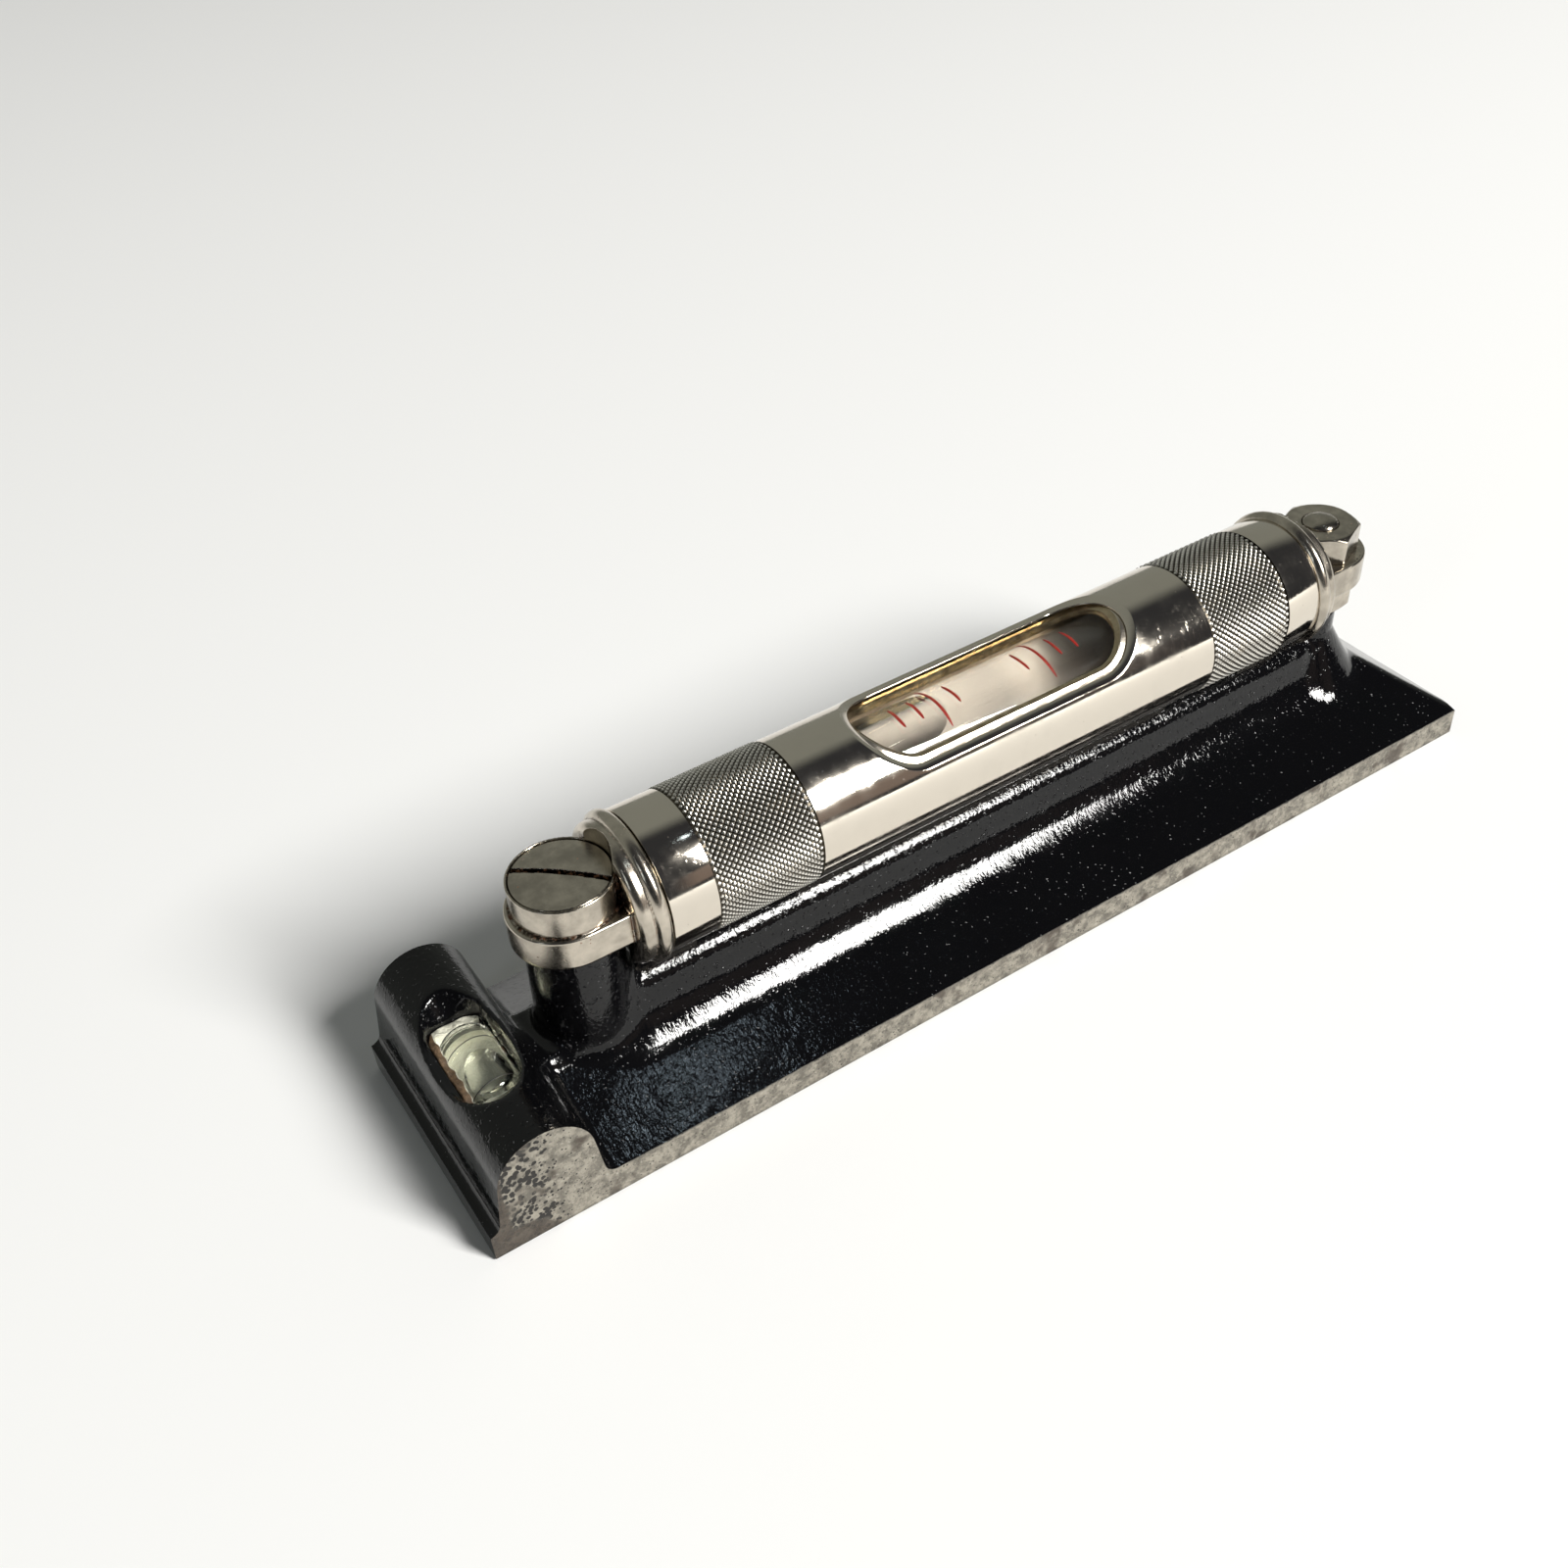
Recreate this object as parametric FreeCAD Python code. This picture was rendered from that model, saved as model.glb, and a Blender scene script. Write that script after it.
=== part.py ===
"""Machinist's precision level: a ground iron base with a cross vial, and a sighted main vial in a tube
that is hinged at one end, adjusted at the other and covered by a turning knurled sleeve.

Millimetres. X runs along the base, Y across it, Z up. The origin is the centre of the base's foot.
"""
import FreeCAD, Part
import math
import os

V = FreeCAD.Vector
X_AXIS = V(1, 0, 0)
Y_AXIS = V(0, 1, 0)
Z_AXIS = V(0, 0, 1)

# ---- base casting -------------------------------------------------------------------------------
base_length = 152.4        # ground foot, left end to right end
base_width = 33.7
edge_height = 4.3          # bare strip along both long sides
ledge_height = 4.0         # step outside the barrel at the left end
right_end_height = 4.66
roof_slope = 27.0          # degrees, how the painted top rises from each long side
end_slope = 36.0           # degrees, how it falls to the right end
foot_chamfer = 0.3
rib_width = 9.4            # central rib that stiffens the base under the tube
rib_top = 17.05
rib_corner = 3.3           # its round shoulders, which run straight into the hollows below
rib_fillet = 9.4           # the hollows along its foot
rib_inset = 28.7           # where its left end is rounded, inside the pivot post
saddle_top = 11.6          # low rib between the barrel and the pivot post
saddle_round = 1.0

# ---- cross vial barrel, cast across the left end ------------------------------------------------
barrel_inset = 7.9         # barrel axis from the left end
barrel_radius = 5.9
barrel_axis_height = 10.05
barrel_draft = 7.0         # degrees
dish_length = 18.6         # oval dish round the cross vial, at the barrel's crest
dish_width = 10.8
dish_shift = -0.35         # dish centre towards -Y
dish_floor = 12.7          # height of the dish's floor
dish_taper = 2.2           # each end's run from crest to floor
pocket_length = 14.2       # slot that holds the cross vial
pocket_width = 7.2
pocket_floor = 7.0
pocket_shift = -0.9

# ---- cross vial ---------------------------------------------------------------------------------
cross_glass_radius = 3.3
cross_glass_wall = 0.8
cross_glass_length = 12.6
cross_glass_height = 10.7
cross_bubble_length = 6.4
cross_bubble_width = 4.0
cross_bubble_depth = 2.0
cross_bubble_shift = -2.2
bedding_top = 12.6

# ---- tube line ----------------------------------------------------------------------------------
tube_height = 27.0         # tube axis above the foot
pivot_inset = 21.84        # pivot screw axis from the left end
stud_inset = 137.45        # adjusting stud axis from the left end
tube_radius = 7.96
tube_bore = 6.72
sleeve_gap = 0.07          # radial running clearance under the sleeve
sleeve_wall = 0.87
sleeve_end_gap = 0.12      # axial clearance at each bead
sleeve_left = 30.3         # sleeve space, from the left end
sleeve_right = 129.0
knurl_height = 0.12
knurl_left = 36.3          # first knurled band
knurl_left_length = 14.05
knurl_right = 110.2        # second knurled band
knurl_right_length = 13.3
sleeve_turn = 10.0         # degrees that the sleeve stands turned towards -Y

# ---- windows ------------------------------------------------------------------------------------
window_centre = 80.0       # from the left end
sleeve_window_length = 39.6
sleeve_window_width = 12.2
sleeve_window_bevel = 1.05
sleeve_bevel_depth = 0.7
tube_window_length = 38.0
tube_window_width = 11.2
tube_window_bevel = 0.75
tube_bevel_depth = 0.6

# ---- main vial ----------------------------------------------------------------------------------
glass_radius = 6.2
glass_wall = 1.1
glass_length = 74.0
bubble_length = 27.0
bubble_width = 7.4
bubble_depth = 2.4
bubble_left = 46.4         # bubble's left tip, from the left end
rod_dome = 0.5             # height of a vial's round end for each unit of its radius
backing_thickness = 0.3
backing_angle = 200.0      # degrees of the bore that the pale backing strip covers
bedding_length = 9.0       # plaster at each end of the vial

# ---- end caps -----------------------------------------------------------------------------------
bead_radius = 9.45
bead_width = 1.95
collar_radius = 8.7        # rounded step outside each bead
collar_width = 1.7
collar_round = 1.02
spigot_length = 6.0        # cap's plug in the tube end
lug_thickness = 4.4
lug_round = 0.6            # round lower edge of each lug
pivot_lug_radius = 6.6
pivot_lug_shift = 0.3      # pivot lug's round end stands this far outside the screw axis
stud_lug_radius = 6.4
boss_radius = 6.14
boss_top = 33.1
head_recess = 4.3          # depth of the boss's counterbore
post_relief = 0.35         # round clearance milled in the pivot cap for its post
nut_relief = 0.35          # spot faces in the adjusting cap round the nuts
cap_pin_radius = 0.48
cap_pin_circle = 7.45      # pin axis from the tube axis, inside the tube's wall
cap_pin_length = 6.0
cap_pin_angle = 36.0       # degrees from the top, towards +Y

# ---- pivot screw and posts ----------------------------------------------------------------------
rocking_gap = 0.06         # under the pivot lug, its screw head and beside the nuts
screw_head_gap = 0.12      # round the screw head
screw_crown = 0.45
screw_edge_drop = 0.1      # head's rim below the boss's rim
screw_inset = 0.42         # boss's rim, from its outside to the screw head
screw_shank_radius = 2.4
shank_gap = 0.1
slot_width = 0.65
slot_depth = 1.1
slot_angle = -43.0
shank_depth = 12.0         # shank and stud run this far into their posts
pivot_post_radius = 5.6
pivot_post_foot = 5.95
post_foot_flare = 1.2
stud_post_radius = 3.9
stud_post_top = 19.85
stud_post_shoulder = 16.6  # where the flare of the stud post begins
stud_post_foot = 7.7
flare_bend_out = 0.45      # the flare's middle point, as shares of its run outwards and down
flare_bend_down = 0.48

# ---- adjusting stud and nuts --------------------------------------------------------------------
stud_radius = 2.4
stud_dome = 0.9
stud_top = 32.9
nut_flats = 9.5
nut_face_inset = 0.05      # chamfer starts this far inside the flats
nut_chamfer_slope = 0.55   # fall of the chamfer for each unit outwards
upper_nut_height = 3.75
lower_nut_height = 3.9
nut_bore_gap = 0.05
upper_nut_turn = -36.0     # degrees, direction of one corner
lower_nut_turn = 0.0

# ---- worked out from the sizes above ------------------------------------------------------------
left_end = -base_length / 2
half_width = base_width / 2
barrel_x = left_end + barrel_inset
pivot_x = left_end + pivot_inset
stud_x = left_end + stud_inset
window_x = left_end + window_centre
sleeve_start = left_end + sleeve_left
sleeve_end = left_end + sleeve_right
sleeve_bore = tube_radius + sleeve_gap
sleeve_radius = sleeve_bore + sleeve_wall
roof_ridge = edge_height + (half_width - rib_width / 2) * math.tan(math.radians(roof_slope))
lug_bottom = tube_height - lug_thickness / 2
lug_top = tube_height + lug_thickness / 2
pivot_post_top = lug_bottom - rocking_gap
recess_floor = boss_top - head_recess
screw_head_radius = boss_radius - screw_inset
recess_radius = screw_head_radius + screw_head_gap
rib_start = left_end + rib_inset
rib_end_x = stud_x - stud_post_radius - rib_corner / 4


def closed_face(points):
    return Part.Face(Part.makePolygon(points + [points[0]]))


def mirrored(points):
    """Adds the mirror image, across the centre plane, of a half outline that starts and ends on it."""
    return points + [V(p.x, -p.y, p.z) for p in reversed(points) if p.y > 0]


def turned(outline, place):
    """A full turn of an outline. An entry is a point, or a middle and an end point of an arc.

    place turns an outline's (radius, height) into a point; the axis is place(0, 0) to place(0, 1).
    """
    edges = []
    last = place(*outline[0])
    for entry in outline[1:] + [outline[0]]:
        if len(entry) == 4:
            end = place(entry[2], entry[3])
            edges.append(Part.Arc(last, place(entry[0], entry[1]), end).toShape())
        else:
            end = place(*entry)
            edges.append(Part.LineSegment(last, end).toShape())
        last = end
    axis = place(0, 1) - place(0, 0)
    return Part.Face(Part.Wire(edges)).revolve(place(0, 0), axis, 360)


def turned_z(x, outline, y=0):
    return turned(outline, lambda radius, height: V(x + radius, y, height))


def turned_x(outline):
    """Turned about the tube axis: an outline's points are (radius, station along X)."""
    return turned(outline, lambda radius, station: V(station, 0, tube_height + radius))


def tube_x(outer, inner, start, end):
    return turned_x([(inner, start), (outer, start), (outer, end), (inner, end)])


def dome(radius, base, height):
    """Middle and end of the arc that closes a turned outline at its axis, as part of a sphere."""
    sphere = (radius ** 2 + height ** 2) / (2 * abs(height))
    half_angle = math.asin(min(1, radius / sphere)) / 2
    sag = math.copysign(sphere * (1 - math.cos(half_angle)), height)
    return (sphere * math.sin(half_angle), base + height - sag, 0, base + height)


def cylinder_z(radius, bottom, top, x):
    return Part.makeCylinder(radius, top - bottom, V(x, 0, bottom), Z_AXIS)


def stadium(length, width, centre, height, along=X_AXIS):
    """An upright slot-shaped prism with round ends, its length along X or Y."""
    half = (length - width) / 2
    side = width / 2
    turn = FreeCAD.Rotation(X_AXIS, along)
    corners = [V(-half, -side, 0), V(half, -side, 0), V(half, side, 0), V(-half, side, 0)]
    tips = [V(half + side, 0, 0), V(-half - side, 0, 0)]
    a, b, c, d = [centre + turn.multVec(point) for point in corners]
    right, left = [centre + turn.multVec(point) for point in tips]
    edges = [
        Part.LineSegment(a, b).toShape(),
        Part.Arc(b, right, c).toShape(),
        Part.LineSegment(c, d).toShape(),
        Part.Arc(d, left, a).toShape(),
    ]
    return Part.Face(Part.Wire(edges)).extrude(V(0, 0, height))


def outline_face(start, entries):
    """A flat face. An entry is the end of a straight edge, or a pair: an arc's middle and end."""
    edges = []
    last = start
    for entry in entries:
        if isinstance(entry, tuple):
            edges.append(Part.Arc(last, *entry).toShape())
            last = entry[1]
        else:
            edges.append(Part.LineSegment(last, entry).toShape())
            last = entry
    return Part.Face(Part.Wire(edges))


def long_edges_at(body, y, z):
    """The straight edges along X at this place in the section, on both sides."""
    found = []
    for edge in body.Edges:
        box = edge.BoundBox
        straight = box.YLength < 1e-6 and box.ZLength < 1e-6
        if straight and abs(abs(box.YMin) - y) < 1e-6 and abs(box.ZMin - z) < 1e-6:
            found.append(edge)
    return found


# ---- base ---------------------------------------------------------------------------------------

def rib_profile():
    """Half of the rib's section as (distance out, height): roof end, two arcs' middles and ends.

    The shoulder's arc and the hollow's touch each other, and the hollow's also touches the roof.
    """
    slope = math.radians(roof_slope)
    down = V(math.cos(slope), -math.sin(slope), 0)
    up = V(math.sin(slope), math.cos(slope), 0)
    shoulder = V(rib_width / 2 - rib_corner, rib_top - rib_corner, 0)
    above_roof = (shoulder - V(half_width, edge_height, 0)).dot(up)
    lift = rib_fillet - above_roof
    run = math.sqrt((rib_corner + rib_fillet) ** 2 - lift ** 2)
    hollow = shoulder + down * run + up * lift
    across = (hollow - shoulder).normalize()
    foot = hollow - up * rib_fillet
    meeting = shoulder + across * rib_corner
    hollow_middle = hollow - (up + across).normalize() * rib_fillet
    shoulder_middle = shoulder + (across + V(0, 1, 0)).normalize() * rib_corner
    return foot, hollow_middle, meeting, shoulder_middle, shoulder + V(0, rib_corner, 0)


def ribbed_roof(start, end):
    """The base's section under the tube: sloping roof, hollows and a round-shouldered rib."""
    profile = rib_profile()
    near = [V(start, -p.x, p.y) for p in profile]
    far = [V(start, p.x, p.y) for p in profile]
    return outline_face(V(start, half_width, 0), [
        V(start, half_width, edge_height), far[0], (far[1], far[2]), (far[3], far[4]),
        near[4], (near[3], near[2]), (near[1], near[0]),
        V(start, -half_width, edge_height), V(start, -half_width, 0), V(start, half_width, 0),
    ]).extrude(V(end - start, 0, 0))


def rib_end(x):
    """Round end of the rib, with the same shoulder and hollow turned about it."""
    foot, hollow_middle, meeting, shoulder_middle, crown = rib_profile()
    return turned_z(x, [
        (0, 0), (foot.x, 0), (foot.x, foot.y), (hollow_middle.x, hollow_middle.y, meeting.x, meeting.y),
        (shoulder_middle.x, shoulder_middle.y, crown.x, crown.y), (0, rib_top),
    ])


def hipped_roof():
    """The plain roof from the barrel to the right end, where it falls away to the end's top edge."""
    right_end = -left_end
    body = closed_face(mirrored([
        V(barrel_x, 0, 0), V(barrel_x, half_width, 0), V(barrel_x, half_width, edge_height),
        V(barrel_x, rib_width / 2, roof_ridge),
    ])).extrude(V(right_end - barrel_x, 0, 0))
    rise = 2 * roof_ridge
    run = rise / math.tan(math.radians(end_slope))
    hip = closed_face([
        V(right_end, -half_width, right_end_height), V(right_end, -half_width, right_end_height + rise),
        V(right_end - run, -half_width, right_end_height + rise),
    ]).extrude(V(0, base_width, 0))
    return body.cut(hip)


def saddle():
    """Low rib that ties the barrel to the pivot post."""
    half_rib = rib_width / 2
    body = closed_face(mirrored([
        V(barrel_x, 0, 0), V(barrel_x, half_rib, 0), V(barrel_x, half_rib, saddle_top),
        V(barrel_x, 0, saddle_top),
    ])).extrude(V(pivot_x - barrel_x, 0, 0))
    return body.makeFillet(saddle_round, long_edges_at(body, half_rib, saddle_top))


def arch(start, end):
    """The barrel: a round top that runs into slightly drafted walls, right across the base."""
    draft = math.radians(barrel_draft)
    side = barrel_radius * math.cos(draft)
    spring = barrel_axis_height + barrel_radius * math.sin(draft)
    foot = side + spring * math.tan(draft)
    left = V(barrel_x - side, start, spring)
    right = V(barrel_x + side, start, spring)
    crown = V(barrel_x, start, barrel_axis_height + barrel_radius)
    left_foot = V(barrel_x - foot, start, 0)
    right_foot = V(barrel_x + foot, start, 0)
    edges = [
        Part.LineSegment(left_foot, left).toShape(),
        Part.Arc(left, crown, right).toShape(),
        Part.LineSegment(right, right_foot).toShape(),
        Part.LineSegment(right_foot, left_foot).toShape(),
    ]
    return Part.Face(Part.Wire(edges)).extrude(V(0, end - start, 0))


def pivot_post():
    """Round post under the pivot lug, slightly drafted, with a flared foot."""
    rim = pivot_post_foot + post_foot_flare
    low = roof_ridge - post_foot_flare
    bend = post_foot_flare * (1 - math.sqrt(0.5))
    return turned_z(pivot_x, [
        (0, 0), (rim, 0), (rim, low),
        (pivot_post_foot + bend, low + bend, pivot_post_foot, roof_ridge),
        (pivot_post_radius, pivot_post_top), (0, pivot_post_top),
    ])


def stud_post():
    """Short post under the adjusting stud: a plain neck on a wide flare."""
    waist = stud_post_radius + flare_bend_out * (stud_post_foot - stud_post_radius)
    waist_height = stud_post_shoulder - flare_bend_down * (stud_post_shoulder - roof_ridge)
    return turned_z(stud_x, [
        (0, 0), (stud_post_foot, 0), (stud_post_foot, roof_ridge),
        (waist, waist_height, stud_post_radius, stud_post_shoulder),
        (stud_post_radius, stud_post_top), (0, stud_post_top),
    ])


def dish():
    """The oval dish in the barrel's crest, round the cross vial."""
    crest = barrel_axis_height + barrel_radius
    run = dish_taper / (crest - dish_floor)
    wires = []
    for height in (dish_floor, crest + 1):
        grow = 2 * run * (height - crest)
        half_long = (dish_length + grow) / 2
        half_wide = (dish_width + grow / 2) / 2
        curve = Part.Ellipse(V(0, 0, 0), half_long, half_wide).toShape()
        curve.rotate(V(0, 0, 0), Z_AXIS, 90)
        curve.translate(V(barrel_x, dish_shift, height))
        wires.append(Part.Wire([curve]))
    return Part.makeLoft(wires, True)


def pocket(bottom, top):
    """The slot in the barrel that holds the cross vial and its bedding."""
    return stadium(pocket_length, pocket_width, V(barrel_x, pocket_shift, bottom), top - bottom, Y_AXIS)


def base_casting():
    foot = Part.makeBox(base_length, base_width, ledge_height, V(left_end, -half_width, 0))
    cheeks = arch(-half_width, half_width)
    body = foot.multiFuse([
        hipped_roof(), ribbed_roof(rib_start, rib_end_x), rib_end(rib_start), rib_end(rib_end_x),
        saddle(), cheeks, pivot_post(), stud_post(),
    ]).removeSplitter()
    bottom = [edge for edge in body.Edges if edge.BoundBox.ZMax < 1e-6]
    body = body.makeChamfer(foot_chamfer, bottom)
    body = body.cut(dish())
    body = body.cut(pocket(pocket_floor, barrel_axis_height + barrel_radius))
    body = body.cut(cylinder_z(screw_shank_radius, pivot_post_top - shank_depth, pivot_post_top, pivot_x))
    return body.cut(cylinder_z(stud_radius, stud_post_top - shank_depth, stud_post_top, stud_x))


# ---- cross vial ---------------------------------------------------------------------------------

def round_ended_rod(radius, length):
    """A rod along X with domed ends, centred on the origin."""
    cap = rod_dome * radius
    shoulder = length / 2 - cap
    bow_radius, bow_station = dome(radius, shoulder, cap)[:2]
    outline = [
        (0, -length / 2), (bow_radius, -bow_station, radius, -shoulder),
        (radius, shoulder), dome(radius, shoulder, cap),
    ]
    return turned(outline, lambda out, station: V(station, 0, out))


def bubble(length, width, depth):
    """A flattened bubble, centred on its own flat top."""
    body = Part.makeSphere(1)
    squeeze = FreeCAD.Matrix()
    squeeze.scale(length / 2, width / 2, depth)
    return body.transformGeometry(squeeze)


def cross_vial_place(shape):
    shape.rotate(V(0, 0, 0), Z_AXIS, 90)
    shape.translate(V(barrel_x, pocket_shift, cross_glass_height))
    return shape


def cross_bore():
    wall = 2 * cross_glass_wall
    return round_ended_rod(cross_glass_radius - cross_glass_wall, cross_glass_length - wall)


def cross_vial_glass():
    outside = round_ended_rod(cross_glass_radius, cross_glass_length)
    return cross_vial_place(outside.cut(cross_bore()))


def cross_vial_spirit():
    air = bubble(cross_bubble_length, cross_bubble_width, cross_bubble_depth)
    air.translate(V(cross_bubble_shift, 0, cross_glass_radius - cross_glass_wall))
    return cross_vial_place(cross_bore().cut(air))


def cross_vial_bedding():
    vial = cross_vial_place(round_ended_rod(cross_glass_radius, cross_glass_length))
    return pocket(pocket_floor, bedding_top).cut(vial)


# ---- main vial ----------------------------------------------------------------------------------

def main_bore():
    return round_ended_rod(glass_radius - glass_wall, glass_length - 2 * glass_wall)


def main_vial_place(shape):
    shape.translate(V(window_x, 0, tube_height))
    return shape


def main_vial_glass():
    return main_vial_place(round_ended_rod(glass_radius, glass_length).cut(main_bore()))


def main_vial_spirit():
    air = bubble(bubble_length, bubble_width, bubble_depth)
    place = left_end + bubble_left + bubble_length / 2 - window_x
    air.translate(V(place, 0, glass_radius - glass_wall))
    return main_vial_place(main_bore().cut(air))


def vial_bedding(side):
    """Plaster collar round one end of the main vial."""
    outer_end = window_x + side * (glass_length / 2 - glass_radius / 2)
    inner_end = outer_end - side * bedding_length
    return tube_x(tube_bore, glass_radius, min(outer_end, inner_end), max(outer_end, inner_end))


def vial_backing():
    """Pale strip curled round the lower half of the vial, between the two plaster collars."""
    reach = glass_length / 2 - glass_radius / 2 - bedding_length
    start = window_x - reach
    ring = tube_x(glass_radius + backing_thickness, glass_radius, start, window_x + reach)
    gap = math.radians(360 - backing_angle) / 2
    far = 2 * tube_bore
    wedge = closed_face([
        V(start, 0, tube_height),
        V(start, far * math.sin(gap), tube_height + far * math.cos(gap)),
        V(start, 0, tube_height + 2 * far),
        V(start, -far * math.sin(gap), tube_height + far * math.cos(gap)),
    ]).extrude(V(2 * reach, 0, 0))
    return ring.cut(wedge)


# ---- tube and sleeve ----------------------------------------------------------------------------

def window_cutter(length, width, bevel, depth, radius):
    """Round-ended window through the top of a tube, with a step that follows the tube's surface."""
    centre = V(window_x, 0, tube_height)
    opening = stadium(length, width, centre, 2 * radius)
    flare = stadium(length + 2 * bevel, width + 2 * bevel, centre, 2 * radius)
    shell = tube_x(2 * radius, radius - depth, window_x - length, window_x + length)
    return opening.fuse(flare.common(shell))


def vial_tube():
    body = tube_x(tube_radius, tube_bore, sleeve_start, sleeve_end)
    body = body.cut(window_cutter(
        tube_window_length, tube_window_width, tube_window_bevel, tube_bevel_depth, tube_radius))
    for side in (-1, 1):
        body = body.cut(cap_pin(side))
    return body


def sleeve():
    """Turning cover: plain shell with two raised knurled bands and a window like the tube's own."""
    start = sleeve_start + sleeve_end_gap
    end = sleeve_end - sleeve_end_gap
    crest = sleeve_radius + knurl_height
    first = left_end + knurl_left
    second = left_end + knurl_right
    body = turned_x([
        (sleeve_bore, start), (sleeve_radius, start), (sleeve_radius, first), (crest, first),
        (crest, first + knurl_left_length), (sleeve_radius, first + knurl_left_length),
        (sleeve_radius, second), (crest, second), (crest, second + knurl_right_length),
        (sleeve_radius, second + knurl_right_length), (sleeve_radius, end), (sleeve_bore, end),
    ])
    body = body.cut(window_cutter(
        sleeve_window_length, sleeve_window_width, sleeve_window_bevel, sleeve_bevel_depth,
        sleeve_radius))
    body.rotate(V(0, 0, tube_height), X_AXIS, sleeve_turn)
    return body


# ---- end caps -----------------------------------------------------------------------------------

def cap_body(side):
    """A cap's turned part: plug in the tube end, half-round bead, and a rounded collar outside it."""
    face = sleeve_start if side < 0 else sleeve_end
    half_bead = bead_width / 2
    bead_root = bead_radius - half_bead
    bend = collar_round * math.sqrt(0.5)
    outline = [
        (0, -spigot_length), (tube_bore, -spigot_length), (tube_bore, 0), (bead_root, 0),
        (bead_radius, half_bead, bead_root, bead_width),
        (collar_radius, bead_width), (collar_radius, bead_width + collar_width - collar_round),
        (collar_radius - collar_round + bend, bead_width + collar_width - collar_round + bend,
         collar_radius - collar_round, bead_width + collar_width),
        (0, bead_width + collar_width),
    ]
    return turned(outline, lambda radius, out: V(face + side * out, 0, tube_height + radius))


def cap_pin(side):
    """Axial pin that keeps a cap from turning in the tube."""
    face = sleeve_start if side < 0 else sleeve_end
    outer = face + side * (bead_width + collar_width)
    angle = math.radians(cap_pin_angle)
    across = cap_pin_circle * math.sin(angle)
    height = tube_height + cap_pin_circle * math.cos(angle)
    return Part.makeCylinder(cap_pin_radius, cap_pin_length, V(outer, across, height), V(-side, 0, 0))


def lug(side, axis_x, radius, shift):
    """Flat lug with a round end, from a cap's collar out over its post."""
    face = sleeve_start if side < 0 else sleeve_end
    root = face + side * bead_width
    tip = axis_x + side * (shift + radius)
    length = abs(tip - root) + radius
    centre = V(tip - side * length / 2, 0, lug_bottom)
    body = stadium(length, 2 * radius, centre, lug_thickness)
    lower = [edge for edge in body.Edges if edge.BoundBox.ZMax < lug_bottom + lug_round]
    body = body.makeFillet(lug_round, lower)
    inside = Part.makeBox(2 * radius, 2 * radius, lug_thickness,
                          V(min(root, root - side * 2 * radius), -radius, lug_bottom))
    return body.cut(inside)


def pivot_end_cap():
    body = cap_body(-1).fuse([
        lug(-1, pivot_x, pivot_lug_radius, pivot_lug_shift),
        cylinder_z(boss_radius, lug_top, boss_top, pivot_x),
    ]).removeSplitter()
    over = tube_height + bead_radius
    under = tube_height - bead_radius
    body = body.cut(cylinder_z(recess_radius, recess_floor, over, pivot_x))
    body = body.cut(cylinder_z(screw_shank_radius + shank_gap, lug_bottom, over, pivot_x))
    body = body.cut(cylinder_z(pivot_post_foot + post_relief, under, lug_bottom, pivot_x))
    return body.cut(cap_pin(-1))


def adjusting_end_cap():
    body = cap_body(1).fuse(lug(1, stud_x, stud_lug_radius, 0)).removeSplitter()
    over = tube_height + bead_radius
    under = tube_height - bead_radius
    nut_room = nut_flats / math.sqrt(3) + nut_relief
    body = body.cut(cylinder_z(stud_radius + shank_gap, lug_bottom, lug_top, stud_x))
    body = body.cut(cylinder_z(nut_room, lug_top, over, stud_x))
    body = body.cut(cylinder_z(nut_room, under, lug_bottom, stud_x))
    return body.cut(cap_pin(1))


# ---- screw, stud and nuts -----------------------------------------------------------------------

def pivot_screw():
    """Slotted screw with a crowned flat head that fills the boss's counterbore."""
    seat = recess_floor + rocking_gap
    rim_height = boss_top - screw_edge_drop
    crown = rim_height + screw_crown
    foot = pivot_post_top - shank_depth
    head = turned_z(pivot_x, [
        (0, foot), (screw_shank_radius, foot), (screw_shank_radius, seat), (screw_head_radius, seat),
        (screw_head_radius, rim_height), dome(screw_head_radius, rim_height, screw_crown),
    ])
    slot = Part.makeBox(4 * screw_head_radius, slot_width, slot_depth + screw_crown)
    slot.translate(V(-2 * screw_head_radius, -slot_width / 2, crown - slot_depth))
    slot.rotate(V(0, 0, 0), Z_AXIS, slot_angle)
    slot.translate(V(pivot_x, 0, 0))
    return head.cut(slot)


def adjusting_stud():
    foot = stud_post_top - shank_depth
    return turned_z(stud_x, [
        (0, foot), (stud_radius, foot), (stud_radius, stud_top), dome(stud_radius, stud_top, stud_dome),
    ])


def hex_nut(bottom, height, turn, top_chamfer, bottom_chamfer):
    """Hexagon nut whose chamfered faces leave round corners."""
    corner = nut_flats / math.sqrt(3)
    points = []
    for side in range(6):
        angle = math.radians(turn + 60 * side)
        points.append(V(stud_x + corner * math.cos(angle), corner * math.sin(angle), bottom))
    body = closed_face(points).extrude(V(0, 0, height))
    reach = 2 * corner
    flat = nut_flats / 2 - nut_face_inset
    fall = nut_chamfer_slope * (reach - flat)
    low = fall * bottom_chamfer
    high = fall * top_chamfer
    blank = turned_z(stud_x, [
        (0, bottom), (flat, bottom), (reach, bottom + low),
        (reach, bottom + height - high), (flat, bottom + height), (0, bottom + height),
    ])
    bore = cylinder_z(stud_radius + nut_bore_gap, bottom, bottom + height, stud_x)
    return body.common(blank).cut(bore)


def upper_adjusting_nut():
    return hex_nut(lug_top + rocking_gap, upper_nut_height, upper_nut_turn, 1, 0)


def lower_adjusting_nut():
    bottom = lug_bottom - rocking_gap - lower_nut_height
    return hex_nut(bottom, lower_nut_height, lower_nut_turn, 0, 1)


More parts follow.
